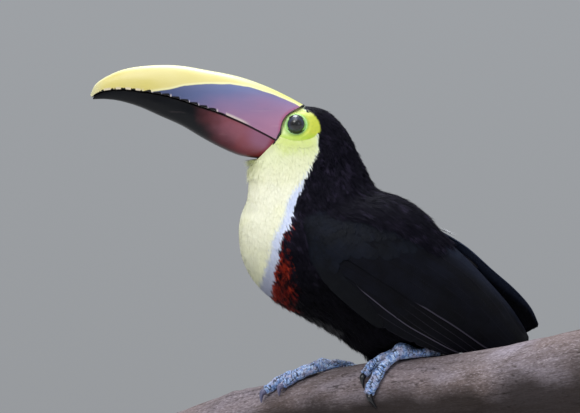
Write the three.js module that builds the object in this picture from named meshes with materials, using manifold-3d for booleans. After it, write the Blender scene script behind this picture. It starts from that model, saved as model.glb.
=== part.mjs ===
// A chestnut-billed toucan at life size, perched on a short length of branch on a display stand.
// Millimetres, +Z up. The bird faces -X and its left side faces -Y. The origin is the middle of the
// stand base's underside. Each solid reaches out to the tips of the feathers.
import * as THREE from "three";
import { mergeVertices } from "three/addons/utils/BufferGeometryUtils.js";
import Module from "manifold-3d";

const wasm = await Module();
wasm.setup();

const gap = 0.35; // between pieces that touch
const fineness = 0.02; // detail smaller than this is left out of a cut solid
const { cos, sin, tan, PI } = Math;
const degrees = PI / 180;
const mix = (a, b, share) => a + (b - a) * share;
const vector = (x, y, z) => new THREE.Vector3(x, y, z);
const steps = (count) => Array.from({ length: count + 1 }, (_, i) => i / count);

// ---- driving dimensions ----

// Stations run along a form. top and bottom are [x, z] on its outline seen from the side, width is
// half of its breadth, and low is how much broader it is below the middle than above.
const body = {
  stations: [
    { top: [-86, 366], bottom: [-111, 322], width: 12, low: 0 }, // held in the bill
    { top: [-72, 362.5], bottom: [-104, 318], width: 17.5, low: 0 }, // brow and chin
    { top: [-61, 361], bottom: [-113.5, 311], width: 21.5, low: 0.02 },
    { top: [-51, 358.5], bottom: [-116, 302], width: 24, low: 0.04 }, // crown
    { top: [-40, 350], bottom: [-118, 292], width: 26, low: 0.06 },
    { top: [-30, 337], bottom: [-119, 282], width: 28, low: 0.06 }, // back of the head
    { top: [-23, 322], bottom: [-122, 272], width: 30, low: 0.06 },
    { top: [-15, 306], bottom: [-124, 260], width: 34, low: 0.06 }, // neck
    { top: [-6, 291], bottom: [-124, 248], width: 39, low: 0.04 },
    { top: [12, 285], bottom: [-121, 231], width: 44, low: 0 }, // shoulders
    { top: [33, 272], bottom: [-111, 212], width: 47, low: -0.02 },
    { top: [50, 252], bottom: [-93, 195], width: 48, low: 0 }, // breast
    { top: [61, 236], bottom: [-68, 181], width: 45, low: 0 },
    { top: [69, 219], bottom: [-42, 167], width: 41, low: -0.1 }, // belly
    { top: [75, 204], bottom: [-17, 150], width: 36, low: -0.35 },
    { top: [81, 190], bottom: [24, 144], width: 29, low: -0.5 }, // rump and vent
    { top: [86, 180], bottom: [57, 148], width: 20, low: -0.4 },
  ],
  sides: 20,
  ringsPerStation: 1.2,
  headEnds: 5, // stations at which the body is parted
  neckEnds: 8.5,
  trunkEnds: 14,
};

// Each half is a row of stations. faceBite is how far the bare face reaches into its side, as a
// share of its length, and lean is how far its edge leans in, as a share of its width.
const bill = {
  upper: {
    vaulted: true,
    faceBite: 0.046,
    lean: 0.1,
    stations: [
      { top: [-69, 362.4], bottom: [-90, 331], width: 21 },
      { top: [-86.5, 371.8], bottom: [-105, 339], width: 20 },
      { top: [-105, 380], bottom: [-121, 347], width: 19 },
      { top: [-126, 387], bottom: [-140, 355], width: 17.5 },
      { top: [-151, 392], bottom: [-161, 362], width: 16 },
      { top: [-176, 396], bottom: [-183, 369], width: 14 },
      { top: [-200, 396], bottom: [-203, 373], width: 12 },
      { top: [-221, 393], bottom: [-221, 375], width: 9.5 },
      { top: [-236, 387], bottom: [-235, 374.5], width: 7 },
      { top: [-246, 380], bottom: [-244, 372.5], width: 4.5 },
      { top: [-250.5, 371], bottom: [-249, 369], width: 1.4 }, // hooked tip
    ],
  },
  lower: {
    vaulted: false,
    faceBite: -0.02,
    lean: 0,
    stations: [
      { top: [-90.5, 330.4], bottom: [-106, 317], width: 19 },
      { top: [-105.5, 338.4], bottom: [-123, 319.5], width: 18 },
      { top: [-121.5, 346.4], bottom: [-139, 326], width: 16.5 },
      { top: [-140.5, 354.4], bottom: [-156, 335], width: 14.5 },
      { top: [-161.5, 361.4], bottom: [-173, 345], width: 12.5 },
      { top: [-183, 368.4], bottom: [-193, 354], width: 10.5 },
      { top: [-203, 372.4], bottom: [-209, 361], width: 8.5 },
      { top: [-221, 374.4], bottom: [-225, 365.8], width: 6.5 },
      { top: [-235, 373.8], bottom: [-237.5, 367.4], width: 4.5 },
      { top: [-247.5, 370], bottom: [-248.4, 367.3], width: 1.6 },
    ],
  },
  boxiness: 0.8, // under 1 makes the sides fuller than a round's
  ringsPerStation: 1.5,
  sideSteps: 6,
};

const eye = { at: [-75.7, 345.6], out: 14.5, radius: 8.5, segments: [12, 7] };

// The folded wing: its upper and lower edges from the side, and how far out its face stands at
// the upper edge, at the lower edge and, by the bulge, between them. The right wing's inner
// feathers lie higher than the left's by the rise.
const wing = {
  stations: [
    { top: [-70, 270], bottom: [-72, 256], upperOut: 36, lowerOut: 38, bulge: 3, thick: 4, rise: 0 },
    { top: [-56, 276], bottom: [-63, 227], upperOut: 35, lowerOut: 43, bulge: 10, thick: 5, rise: 0 },
    { top: [-34, 279], bottom: [-47, 205], upperOut: 31, lowerOut: 45, bulge: 15, thick: 6, rise: 0 },
    { top: [-8, 279], bottom: [-26, 186], upperOut: 26, lowerOut: 46, bulge: 18, thick: 6, rise: 0 },
    { top: [17, 272], bottom: [0, 170], upperOut: 20, lowerOut: 45, bulge: 20, thick: 6, rise: 1 },
    { top: [42, 255], bottom: [26, 159], upperOut: 13, lowerOut: 42, bulge: 21, thick: 6, rise: 4 },
    { top: [65, 237], bottom: [53, 150], upperOut: 8, lowerOut: 38, bulge: 20, thick: 5.5, rise: 7.5 },
    { top: [85, 216.5], bottom: [80, 144], upperOut: 5, lowerOut: 31, bulge: 17, thick: 5, rise: 9.5 },
    { top: [103.5, 195.5], bottom: [102, 143], upperOut: 4, lowerOut: 24, bulge: 12, thick: 4, rise: 13 },
    { top: [115, 179], bottom: [114, 150], upperOut: 3.4, lowerOut: 16, bulge: 7, thick: 3, rise: 15 },
    { top: [122, 166], bottom: [121, 158], upperOut: 2.8, lowerOut: 8, bulge: 2, thick: 1.8, rise: 14 },
  ],
  riseAlong: [0.62, 0, 0.78], // the way the right wing lies higher than the left
  fromMiddle: 0.5, // the least distance from the middle of the bird
  acrossSteps: 7,
  ringsPerStation: 1.5,
};

const tail = {
  root: [56, 193],
  droop: 42 * degrees,
  length: 168,
  halfWidths: [17, 21, 24, 26.5, 28.5, 29, 25, 12],
  thicknesses: [24, 17, 11, 7.5, 5.5, 4.6, 4, 3],
  sides: 10,
  rings: 9,
};

// The branch runs from behind the bird on its right to in front of it on its left, seen from above
// at an angle to the bird. Each station is [x, height of the axis, radius].
const perch = {
  turn: 35 * degrees,
  stations: [
    [-186, 65, 26],
    [-140, 79.5, 27.5],
    [-95, 93, 29.5],
    [-45, 104.5, 32],
    [5, 112.5, 33.5],
    [50, 116.5, 34.5],
    [90, 122, 36],
    [130, 131, 39],
    [180, 140, 42],
  ],
  ripples: [
    { height: 0.025, lobes: 3, pitch: 31 },
    { height: 0.015, lobes: 5, pitch: -19 },
  ],
  knots: [
    { x: -22, around: 118 * degrees, reach: 16, rise: 2.6 },
    { x: 92, around: 60 * degrees, reach: 20, rise: 2.2 },
    { x: -120, around: 20 * degrees, reach: 15, rise: 2 },
  ],
  sides: 16,
  rings: 15,
};

// Places on the branch are [x of its axis, angle from its top towards the bird's left, height over
// the bark], so a foot follows the branch.
const foot = {
  tarsus: { radius: 3.7, knuckle: 6.9, overrun: 4.3, sides: 10, rings: 7 },
  toe: { sides: 8, rings: 5 },
  claw: { radius: 2.7, tip: 0.55, bulge: 3.4, sides: 6, rings: 4 },
};
const feet = {
  left: {
    heel: [31, -40, 4.4],
    knuckle: [22.5, 18, 7.8],
    toes: {
      outer_front: {
        path: [[21.5, 22, 7.4], [15.5, 41, 4.8], [11, 60, 4.2], [7, 78, 3.8]],
        radii: [4.8, 4, 4.2, 4.2],
        clawTip: [11, 100, 1.2],
      },
      inner_front: {
        path: [[20, 17, 6.8], [10.5, 28, 4.8], [5, 38, 4.2], [1, 51, 3.9]],
        radii: [4.4, 3.7, 3.8, 3.4],
        clawTip: [1, 71, 1.5],
      },
      outer_back: {
        path: [[21, 18, 5], [29, 13, 3.9], [36, 3, 3.5], [42, -11, 3.4]],
        radii: [4.3, 3.5, 3.5, 3.1],
        clawTip: [47, -32, 1.4],
      },
      inner_back: {
        path: [[18, 9, 5], [19, -6, 4], [20, -22, 3.8], [20, -36, 3.6]],
        radii: [4.1, 3.4, 3.4, 3],
        clawTip: [20, -60, 1.4],
      },
    },
  },
  right: {
    heel: [-18, -46, 4.6],
    knuckle: [-47, 4, 3.8],
    toes: {
      outer_front: {
        path: [[-50, 8, 5], [-61, 20, 4.5], [-72, 34, 4.2], [-82, 49, 3.8]],
        radii: [4.6, 3.8, 4, 3.4],
        clawTip: [-87, 67, 1.4],
      },
      inner_front: {
        path: [[-48, 16, 5], [-54, 27, 4.5], [-61, 37, 4.2], [-67, 47, 3.8]],
        radii: [4.4, 3.7, 3.8, 3.2],
        clawTip: [-71, 63, 1.4],
      },
      outer_back: {
        path: [[-48, -1, 4.6], [-51, -16, 4.2], [-54, -34, 4], [-57, -50, 3.7]],
        radii: [4.4, 3.6, 3.7, 3.2],
        clawTip: [-60, -74, 1.4],
      },
      inner_back: {
        path: [[-46, 4, 4.4], [-40, -5, 3.8], [-35, -18, 3.6], [-32, -33, 3.4]],
        radii: [4.1, 3.4, 3.4, 3],
        clawTip: [-31, -56, 1.4],
      },
    },
  },
};

// Feathered thighs, from inside the belly down to the heel.
const thigh = {
  left: [[26, -24, 190], [38, -23, 176], [48, -13, 160]],
  right: [[2, 26, 196], [-6, 34, 178], [-8, 38, 158]],
  radii: [24, 19, 12.5, 7],
  sides: 12,
  rings: 6,
};

const stand = {
  base: { length: 290, breadth: 210, thickness: 16, bevel: 3, segments: 15 },
  rodRadius: 5,
  rodSpread: 62, // along X, each side of the middle
  flange: { radius: 14, height: 4, fillet: 2 },
  rodSides: 12,
};

// ---- solids ----

const centreOf = (ring) =>
  ring.reduce((sum, point) => sum.add(point), vector(0, 0, 0)).divideScalar(ring.length);

// A closed solid over a row of rings, a little longer at both ends when it grows. Every ring has an
// even number of points, and its caps are ladders between the ring's two halves.
function loft(rings, grow) {
  for (const [end, inner] of [[rings[0], rings[1]], [rings.at(-1), rings.at(-2)]]) {
    const outward = centreOf(end).sub(centreOf(inner)).setLength(grow);
    end.forEach((point) => point.add(outward));
  }
  const sides = rings[0].length;
  const end = (rings.length - 1) * sides;
  const faces = [];
  const quad = (a, b, c, d) => faces.push(a, b, c, a, c, d);
  for (let ring = 0; ring < end; ring += sides) {
    for (let i = 0; i < sides; i++) {
      const next = (i + 1) % sides;
      quad(ring + i, ring + sides + i, ring + sides + next, ring + next);
    }
  }
  for (let i = 0; i < sides / 2 - 1; i++) {
    const across = sides - 1 - i;
    quad(i, i + 1, across - 1, across);
    quad(end + i, end + across, end + across - 1, end + i + 1);
  }
  const geometry = new THREE.BufferGeometry().setFromPoints(rings.flat()).setIndex(faces);
  return solidOf(geometry);
}

function solidOf(geometry) {
  const bare = geometry.clone();
  bare.deleteAttribute("normal");
  bare.deleteAttribute("uv");
  const merged = mergeVertices(bare, 1e-4);
  const vertProperties = merged.attributes.position.array;
  const triVerts = new Uint32Array(merged.index.array);
  const made = new wasm.Manifold(new wasm.Mesh({ numProp: 3, vertProperties, triVerts }));
  if (made.volume() > 0) return made;
  triVerts.reverse(); // the rings ran the other way, so the faces pointed in
  return new wasm.Manifold(new wasm.Mesh({ numProp: 3, vertProperties, triVerts }));
}

function geometryOf(solid) {
  const mesh = solid.getMesh();
  return new THREE.BufferGeometry()
    .setAttribute("position", new THREE.BufferAttribute(mesh.vertProperties, 3))
    .setIndex(new THREE.BufferAttribute(mesh.triVerts, 1));
}

// A form is its solid and the same solid grown by the gap, which is what its neighbours are cut by.
const form = (make) => ({ solid: make(0), grown: make(gap) });

// The largest piece of a form that is clear of its neighbours.
function clearOf(own, ...neighbours) {
  const left = neighbours.reduce((solid, other) => solid.subtract(other.grown), own.solid);
  const largest = left.decompose().reduce((a, b) => (a.volume() > b.volume() ? a : b));
  return largest.simplify(fineness);
}

// A smooth value between equally spaced ones, at a place counted in them.
function between(values, place) {
  const i = Math.min(Math.max(Math.floor(place), 0), values.length - 2);
  const share = place - i;
  const [before, from, to, after] = [-1, 0, 1, 2].map(
    (step) => values[Math.min(Math.max(i + step, 0), values.length - 1)],
  );
  const pull = [to - before, after - from].map((span) => span / 2);
  const square = share * share;
  const cube = square * share;
  return (
    from * (2 * cube - 3 * square + 1) +
    to * (3 * square - 2 * cube) +
    pull[0] * (cube - 2 * square + share) +
    pull[1] * (cube - square)
  );
}

function stationAt(stations, place) {
  const read = (pick) => between(stations.map(pick), place);
  const station = {
    top: vector(read((s) => s.top[0]), 0, read((s) => s.top[1])),
    bottom: vector(read((s) => s.bottom[0]), 0, read((s) => s.bottom[1])),
  };
  for (const key of Object.keys(stations[0])) {
    if (key !== "top" && key !== "bottom") station[key] = read((s) => s[key]);
  }
  return station;
}

// The ring of a station: an oval between its top and bottom, as broad as its width.
function oval(station, sides, grow) {
  const middle = station.top.clone().lerp(station.bottom, 0.5);
  const up = station.top.clone().sub(middle);
  up.setLength(up.length() + grow);
  return steps(sides).slice(0, -1).map((turn) => {
    const [rise, out] = [cos(2 * PI * turn), sin(2 * PI * turn)];
    const breadth = (station.width + grow) * (1 - (station.low ?? 0) * rise);
    return middle.clone().addScaledVector(up, rise).setY(out * breadth);
  });
}

// ---- the body ----

const bodyParts = {
  head: [0, body.headEnds],
  neck: [body.headEnds, body.neckEnds],
  trunk: [body.neckEnds, body.trunkEnds],
  rump: [body.trunkEnds, body.stations.length - 1],
};
const placesFrom = (from, to) =>
  steps(Math.round((to - from) * body.ringsPerStation)).map((share) => mix(from, to, share));

// The body through the places given, less half a gap at each end that meets another part.
function bodyThrough(places, grow) {
  const rings = places.map((place) => oval(stationAt(body.stations, place), body.sides, grow));
  return loft(rings, grow - gap / 2);
}

const allPlaces = Object.values(bodyParts).flatMap(([from, to]) => placesFrom(from, to));
const wholeBody = form((grow) => bodyThrough([...new Set(allPlaces)], grow));

// ---- the bill ----

// A ring of half a bill, from its ridge or keel out to its cutting edge and back on the other side.
function billRing({ stations, faceBite, vaulted, lean }, place, grow) {
  const ends = stations.length - 1;
  const side = steps(bill.sideSteps).map((share) => {
    const turn = (share * PI) / 2;
    const fall = vaulted ? 1 - cos(turn) : cos(turn); // 0 at the half's top edge, 1 at its bottom edge
    const bite = faceBite * sin(PI * fall) * (1 - place / ends) ** 3;
    const station = stationAt(stations, place + bite * ends);
    const down = station.bottom.clone().sub(station.top);
    const margin = grow / down.length();
    const out = station.width * sin(turn) ** bill.boxiness * (1 - lean * share ** 5);
    const point = station.top.clone().addScaledVector(down, mix(-margin, 1 + margin, fall));
    return point.setY(share > 0 ? out + grow : 0);
  });
  const mirrored = side.slice(1).reverse().map((point) => vector(point.x, -point.y, point.z));
  const last = side[0].clone().lerp(mirrored.at(-1), 0.5); // makes the number of points even
  return [...side, ...mirrored, last];
}

function billHalf(half, grow) {
  const ends = half.stations.length - 1;
  const count = Math.round(ends * bill.ringsPerStation);
  return loft(steps(count).map((share) => billRing(half, share * ends, grow)), grow);
}

// ---- the eyes ----

function eyeball(side, grow) {
  const ball = new THREE.SphereGeometry(eye.radius + grow, ...eye.segments);
  ball.translate(eye.at[0], side * eye.out, eye.at[1]);
  return solidOf(ball);
}

// ---- the wings ----

const nearby = 0.01; // the share of a wing's depth over which its slope is taken

function wingRing(place, side, grow) {
  const station = stationAt(wing.stations, place);
  if (side > 0) {
    const rise = vector(...wing.riseAlong).multiplyScalar(station.rise);
    station.top.add(rise);
    station.bottom.addScaledVector(rise, (place / (wing.stations.length - 1)) ** 4);
  }
  const length = station.top.distanceTo(station.bottom);
  const down = station.bottom.clone().sub(station.top).normalize();
  const facePoint = (share) => {
    const out = mix(station.upperOut, station.lowerOut, share) + station.bulge * sin(PI * share);
    return station.top.clone().addScaledVector(down, length * share).setY(out);
  };
  const across = steps(wing.acrossSteps);
  const layer = (depth) =>
    across.map((share) => {
      const at = mix(-grow / length, 1 + grow / length, share);
      const along = facePoint(at + nearby).sub(facePoint(at - nearby)).normalize();
      const outward = vector(0, 1, 0).addScaledVector(along, -along.y).normalize();
      const point = facePoint(at).addScaledVector(outward, -depth);
      return point.setY(Math.max(point.y, wing.fromMiddle) * side);
    });
  return [...layer(-grow), ...layer(station.thick + grow).reverse()];
}

function foldedWing(side, grow) {
  const ends = wing.stations.length - 1;
  const rings = steps(ends * wing.ringsPerStation).map((share) => wingRing(share * ends, side, grow));
  return loft(rings, grow);
}

// ---- the tail ----

function tailSolid(grow) {
  const along = vector(cos(tail.droop), 0, -sin(tail.droop));
  const over = vector(sin(tail.droop), 0, cos(tail.droop));
  const last = tail.halfWidths.length - 1;
  const rings = steps(tail.rings).map((share) => {
    const middle = vector(tail.root[0], 0, tail.root[1]).addScaledVector(along, tail.length * share);
    const halfThick = between(tail.thicknesses, share * last) / 2;
    return oval(
      {
        top: middle.clone().addScaledVector(over, halfThick),
        bottom: middle.clone().addScaledVector(over, -halfThick),
        width: between(tail.halfWidths, share * last),
      },
      tail.sides,
      grow,
    );
  });
  return loft(rings, grow);
}

// ---- the branch ----

function perchAxis(x) {
  const xs = perch.stations.map((station) => station[0]);
  let i = xs.findIndex((next) => next > x) - 1;
  if (i < 0) i = x < xs[0] ? 0 : xs.length - 2;
  const place = i + (x - xs[i]) / (xs[i + 1] - xs[i]);
  const [height, radius] = [1, 2].map((column) => between(perch.stations.map((s) => s[column]), place));
  return { centre: vector(x, -x * tan(perch.turn), height), radius };
}

// A point over the bark, by the branch's own places.
function onPerch(x, around, over) {
  const { centre, radius } = perchAxis(x);
  const along = perchAxis(x + 1).centre.sub(perchAxis(x - 1).centre).normalize();
  const left = vector(-sin(perch.turn), -cos(perch.turn), 0);
  const up = along.clone().cross(left).normalize();
  if (up.z < 0) up.negate();
  const ripple = perch.ripples.reduce(
    (sum, { height, lobes, pitch }) => sum + height * sin(lobes * around + x / pitch),
    0,
  );
  let reach = radius * (1 + ripple) + over;
  for (const knot of perch.knots) {
    const away = Math.hypot(x - knot.x, radius * (around - knot.around)) / knot.reach;
    reach += knot.rise * Math.exp(-away * away);
  }
  return centre.addScaledVector(left, reach * sin(around)).addScaledVector(up, reach * cos(around));
}

function perchSolid(grow) {
  const [start, end] = [perch.stations[0][0], perch.stations.at(-1)[0]];
  const around = steps(perch.sides).slice(0, -1);
  const rings = steps(perch.rings).map((share) =>
    around.map((turn) => onPerch(mix(start, end, share), 2 * PI * turn, grow)),
  );
  return loft(rings, grow);
}

// ---- the legs ----

// A tube of changing radius along a smooth line through the points.
function limb(points, radii, sides, rings, grow) {
  const line = new THREE.CatmullRomCurve3(points);
  const frames = line.computeFrenetFrames(rings);
  const tube = steps(rings).map((share, i) => {
    const radius = between(radii, share * (radii.length - 1)) + grow;
    return steps(sides).slice(0, -1).map((turn) =>
      line.getPoint(share)
        .addScaledVector(frames.normals[i], radius * cos(2 * PI * turn))
        .addScaledVector(frames.binormals[i], radius * sin(2 * PI * turn)),
    );
  });
  return loft(tube, grow);
}

const placeOnPerch = ([x, around, over]) => onPerch(x, around * degrees, over);

function tarsus(leg, grow) {
  const [heel, knuckle] = [placeOnPerch(leg.heel), placeOnPerch(leg.knuckle)];
  const toward = knuckle.clone().sub(heel).normalize();
  const { radius, knuckle: thick, overrun, sides, rings } = foot.tarsus;
  const points = [
    heel.clone().addScaledVector(toward, -overrun),
    heel,
    heel.clone().lerp(knuckle, 0.55),
    knuckle,
    knuckle.clone().addScaledVector(toward, overrun),
  ];
  return limb(points, [radius * 0.9, radius * 1.15, radius, thick, thick * 0.62], sides, rings, grow);
}

function toeSolid(toe, grow) {
  const radii = [...toe.radii, toe.radii.at(-1) * 0.8];
  return limb(toe.path.map(placeOnPerch), radii, foot.toe.sides, foot.toe.rings, grow);
}

// A claw leaves the toe's end and arches over to its tip.
function clawSolid(toe, grow) {
  const { radius, tip: point, bulge, sides, rings } = foot.claw;
  const [before, end] = toe.path.slice(-2).map(placeOnPerch);
  const start = end.clone().addScaledVector(end.clone().sub(before).normalize(), gap);
  const tip = placeOnPerch(toe.clawTip);
  const middle = start.clone().lerp(tip, 0.5);
  const outward = end.clone().sub(perchAxis(toe.path.at(-1)[0]).centre).normalize();
  middle.addScaledVector(outward, bulge);
  return limb([start, middle, tip], [radius, radius * 0.85, radius * 0.6, point], sides, rings, grow);
}

function thighSolid(name, grow) {
  const points = [...thigh[name].map((point) => vector(...point)), placeOnPerch(feet[name].heel)];
  return limb(points, thigh.radii, thigh.sides, thigh.rings, grow);
}

// ---- the stand ----

function standBase() {
  const { length, breadth, thickness, bevel } = stand.base;
  const outline = new THREE.Shape();
  outline.absellipse(0, 0, length / 2 - bevel, breadth / 2 - bevel, 0, 2 * PI);
  const plate = new THREE.ExtrudeGeometry(outline, {
    depth: thickness - 2 * bevel,
    bevelThickness: bevel,
    bevelSize: bevel,
    bevelSegments: 1,
    curveSegments: stand.base.segments,
  });
  plate.translate(0, 0, bevel);
  return solidOf(plate);
}

// A round rod on a flange, turned about its own axis and standing on the base.
function standRod(x) {
  const { centre } = perchAxis(x);
  const bottom = stand.base.thickness + gap;
  const { radius, height, fillet } = stand.flange;
  const profile = [
    [0, bottom],
    [radius, bottom],
    [radius, bottom + height * 0.6],
    [stand.rodRadius + fillet, bottom + height],
    [stand.rodRadius, bottom + height + fillet],
    [stand.rodRadius, centre.z],
    [0, centre.z],
  ].map(([r, z]) => new THREE.Vector2(r, z));
  const rod = new THREE.LatheGeometry(profile, stand.rodSides);
  rod.rotateX(PI / 2);
  rod.translate(centre.x, centre.y, 0);
  return solidOf(rod);
}

// ---- the whole ----

const root = new THREE.Group();
const material = (color, roughness, metalness = 0) =>
  new THREE.MeshStandardMaterial({ color, roughness, metalness });
const materials = {
  black: material(0x14141a, 0.75),
  wing: material(0x1b1e26, 0.6),
  horn: material(0xe6dc6a, 0.35),
  lowerHorn: material(0x4a2a30, 0.35),
  eye: material(0x101418, 0.08),
  skin: material(0x8fa9cf, 0.55),
  claw: material(0x17181c, 0.4),
  bark: material(0x8c7d74, 0.9),
  base: material(0x2a211c, 0.45),
  steel: material(0x8d8f92, 0.3, 1),
};

function add(name, solid, look) {
  const mesh = new THREE.Mesh(geometryOf(solid), look);
  mesh.name = name;
  root.add(mesh);
}

const branch = form(perchSolid);
const billUpper = form((grow) => billHalf(bill.upper, grow));
const billLower = form((grow) => billHalf(bill.lower, grow));
const tailForm = form(tailSolid);
const sides = { left: -1, right: 1 };
const bothSides = (make) => ({
  left: form((grow) => make("left", grow)),
  right: form((grow) => make("right", grow)),
});
const eyes = bothSides((name, grow) => eyeball(sides[name], grow));
const wings = bothSides((name, grow) => foldedWing(sides[name], grow));
const thighs = bothSides(thighSolid);
const tarsi = bothSides((name, grow) => tarsus(feet[name], grow));
const toes = {};
const claws = [];

add("perch_branch", branch.solid, materials.bark);
add("bill_upper", billUpper.solid, materials.horn);
add("bill_lower", clearOf(billLower, billUpper), materials.lowerHorn);
for (const name of Object.keys(sides)) {
  add(`eye_${name}`, eyes[name].solid, materials.eye);
  add(`tarsus_${name}`, clearOf(tarsi[name], branch), materials.skin);
  toes[name] = [];
  for (const [toeName, toe] of Object.entries(feet[name].toes)) {
    const toeForm = form((grow) => toeSolid(toe, grow));
    add(`toe_${name}_${toeName}`, clearOf(toeForm, branch, tarsi[name], ...toes[name]), materials.skin);
    toes[name].push(toeForm);
  }
  for (const [toeName, toe] of Object.entries(feet[name].toes)) {
    const clawForm = form((grow) => clawSolid(toe, grow));
    add(`claw_${name}_${toeName}`, clearOf(clawForm, branch, tarsi[name], ...toes[name]), materials.claw);
    claws.push(clawForm);
  }
}

const legs = [tarsi.left, tarsi.right, ...toes.left, ...toes.right, ...claws];
add("wing_left", clearOf(wings.left, branch, ...legs), materials.wing);
add("wing_right", clearOf(wings.right, branch, wings.left, ...legs), materials.wing);
const bothWings = [wings.left, wings.right];
add("tail", clearOf(tailForm, branch, ...bothWings), materials.wing);
const harder = [branch, billUpper, billLower, eyes.left, eyes.right, ...bothWings, tailForm, ...legs];
for (const [name, [from, to]] of Object.entries(bodyParts)) {
  add(name, clearOf({ solid: bodyThrough(placesFrom(from, to), 0) }, ...harder), materials.black);
}
for (const name of Object.keys(sides)) {
  add(`thigh_${name}`, clearOf(thighs[name], wholeBody, ...harder), materials.black);
}

add("stand_base", standBase(), materials.base);
for (const [name, side] of Object.entries({ back: -1, front: 1 })) {
  const rod = { solid: standRod(side * stand.rodSpread) };
  add(`stand_rod_${name}`, clearOf(rod, branch), materials.steel);
}

export default root;
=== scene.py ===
import math
import bpy
import numpy as np
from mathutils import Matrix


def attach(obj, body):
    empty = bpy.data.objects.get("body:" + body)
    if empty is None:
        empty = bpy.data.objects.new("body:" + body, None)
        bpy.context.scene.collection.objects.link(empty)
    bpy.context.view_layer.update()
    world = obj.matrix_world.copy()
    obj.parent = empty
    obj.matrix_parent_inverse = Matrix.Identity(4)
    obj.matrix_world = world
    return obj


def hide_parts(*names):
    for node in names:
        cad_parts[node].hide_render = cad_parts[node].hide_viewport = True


# The looks of a perched toucan, in layers over the fixed frame of solids.
# Shapes are in millimetres; makePiece turns them into metres.

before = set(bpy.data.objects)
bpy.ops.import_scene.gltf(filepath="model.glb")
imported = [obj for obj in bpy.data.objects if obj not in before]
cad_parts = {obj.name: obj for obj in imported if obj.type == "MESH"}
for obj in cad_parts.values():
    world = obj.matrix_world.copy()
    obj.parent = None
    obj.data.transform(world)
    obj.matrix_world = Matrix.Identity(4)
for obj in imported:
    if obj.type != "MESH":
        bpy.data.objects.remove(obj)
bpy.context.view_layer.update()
mm = 0.001
left, right = -1, 1
print("frame loaded:", len(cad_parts), "solids")


# small sums

def between(values, place):  # smooth value between equally spaced ones
    values = np.asarray(values, float)
    place = np.asarray(place, float)
    last = len(values) - 1
    i = np.clip(np.floor(place).astype(int), 0, last - 1)
    share = place - i
    if values.ndim > 1:
        share = share[..., None]
    before, start, end, after = (values[np.clip(i + step, 0, last)] for step in (-1, 0, 1, 2))
    square = share * share
    cube = square * share
    return (start * (2 * cube - 3 * square + 1) + end * (3 * square - 2 * cube)
            + (end - before) / 2 * (cube - 2 * square + share) + (after - start) / 2 * (cube - square))


def mix(a, b, share):
    return a + (b - a) * share


def smooth(low, high, value):  # 0 under low, 1 over high
    share = np.clip((value - low) / (high - low), 0, 1)
    return share * share * (3 - 2 * share)


def unit(vectors):
    return vectors / np.maximum(np.linalg.norm(vectors, axis=-1, keepdims=True), 1e-9)


def roundIn(steps):  # once round, in equal steps
    return np.linspace(0, 2 * math.pi, steps, endpoint=False)


def grid(rows, columns):
    return np.meshgrid(rows, columns, indexing="ij")


def noise3(points, seed=0):  # soft lumps from -1 to 1, one unit across
    cell = np.floor(points).astype(np.int64)
    share = points - cell
    share = share * share * (3 - 2 * share)
    total = 0
    for dx in (0, 1):
        for dy in (0, 1):
            for dz in (0, 1):
                x, y, z = cell[..., 0] + dx, cell[..., 1] + dy, cell[..., 2] + dz
                mess = (x * 73856093) ^ (y * 19349663) ^ (z * 83492791) ^ (seed * 2654435761)
                mess = (mess ^ (mess >> 13)) * 1274126177 & 0x7FFFFFFF
                value = ((mess ^ (mess >> 16)) & 0xFFFF) / 32767.5 - 1
                weight = (np.abs(1 - dx - share[..., 0]) * np.abs(1 - dy - share[..., 1])
                          * np.abs(1 - dz - share[..., 2]))
                total = total + value * weight
    return total


def lumps(points, size, seed=0, layers=3):
    points = np.asarray(points, float) / size
    return sum(noise3(points * 2 ** k, seed + k) / 2 ** k for k in range(layers)) / 1.6


# the forms that the solids have

body = {
    "top": [(-86, 366), (-72, 362.5), (-61, 361), (-51, 358.5), (-40, 350), (-30, 337), (-23, 322),
            (-15, 306), (-6, 291), (12, 285), (33, 272), (50, 252), (61, 236), (69, 219), (75, 204),
            (81, 190), (86, 180)],
    "bottom": [(-111, 322), (-104, 318), (-113.5, 311), (-116, 302), (-118, 292), (-119, 282), (-122, 272),
               (-124, 260), (-124, 248), (-121, 231), (-111, 212), (-93, 195), (-68, 181), (-42, 167),
               (-17, 150), (24, 144), (57, 148)],
    "width": [12, 17.5, 21.5, 24, 26, 28, 30, 34, 39, 44, 47, 48, 45, 41, 36, 29, 20],
    "low": [0, 0, .02, .04, .06, .06, .06, .06, .04, 0, -.02, 0, 0, -.1, -.35, -.5, -.4],
}
bill = {
    "upper": {
        "top": [(-69, 362.4), (-86.5, 371.8), (-105, 380), (-126, 387), (-151, 392), (-176, 396),
                (-200, 396), (-221, 393), (-236, 387), (-246, 380), (-250.5, 371)],
        "bottom": [(-90, 331), (-105, 339), (-121, 347), (-140, 355), (-161, 362), (-183, 369), (-203, 373),
                   (-221, 375), (-235, 374.5), (-244, 372.5), (-249, 369)],
        "width": [21, 20, 19, 17.5, 16, 14, 12, 9.5, 7, 4.5, 1.4],
        "bite": .046,
        "lean": .1,
    },
    "lower": {
        "top": [(-90.5, 330.4), (-105.5, 338.4), (-121.5, 346.4), (-140.5, 354.4), (-161.5, 361.4),
                (-183, 368.4), (-203, 372.4), (-221, 374.4), (-235, 373.8), (-247.5, 370)],
        "bottom": [(-106, 317), (-123, 319.5), (-139, 326), (-156, 335), (-173, 345), (-193, 354),
                   (-209, 361), (-225, 365.8), (-237.5, 367.4), (-248.4, 367.3)],
        "width": [19, 18, 16.5, 14.5, 12.5, 10.5, 8.5, 6.5, 4.5, 1.6],
        "bite": -.02,
        "lean": 0,
    },
}
eye = {"x": -75.7, "out": 14.5, "z": 345.6, "radius": 8.5}
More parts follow.
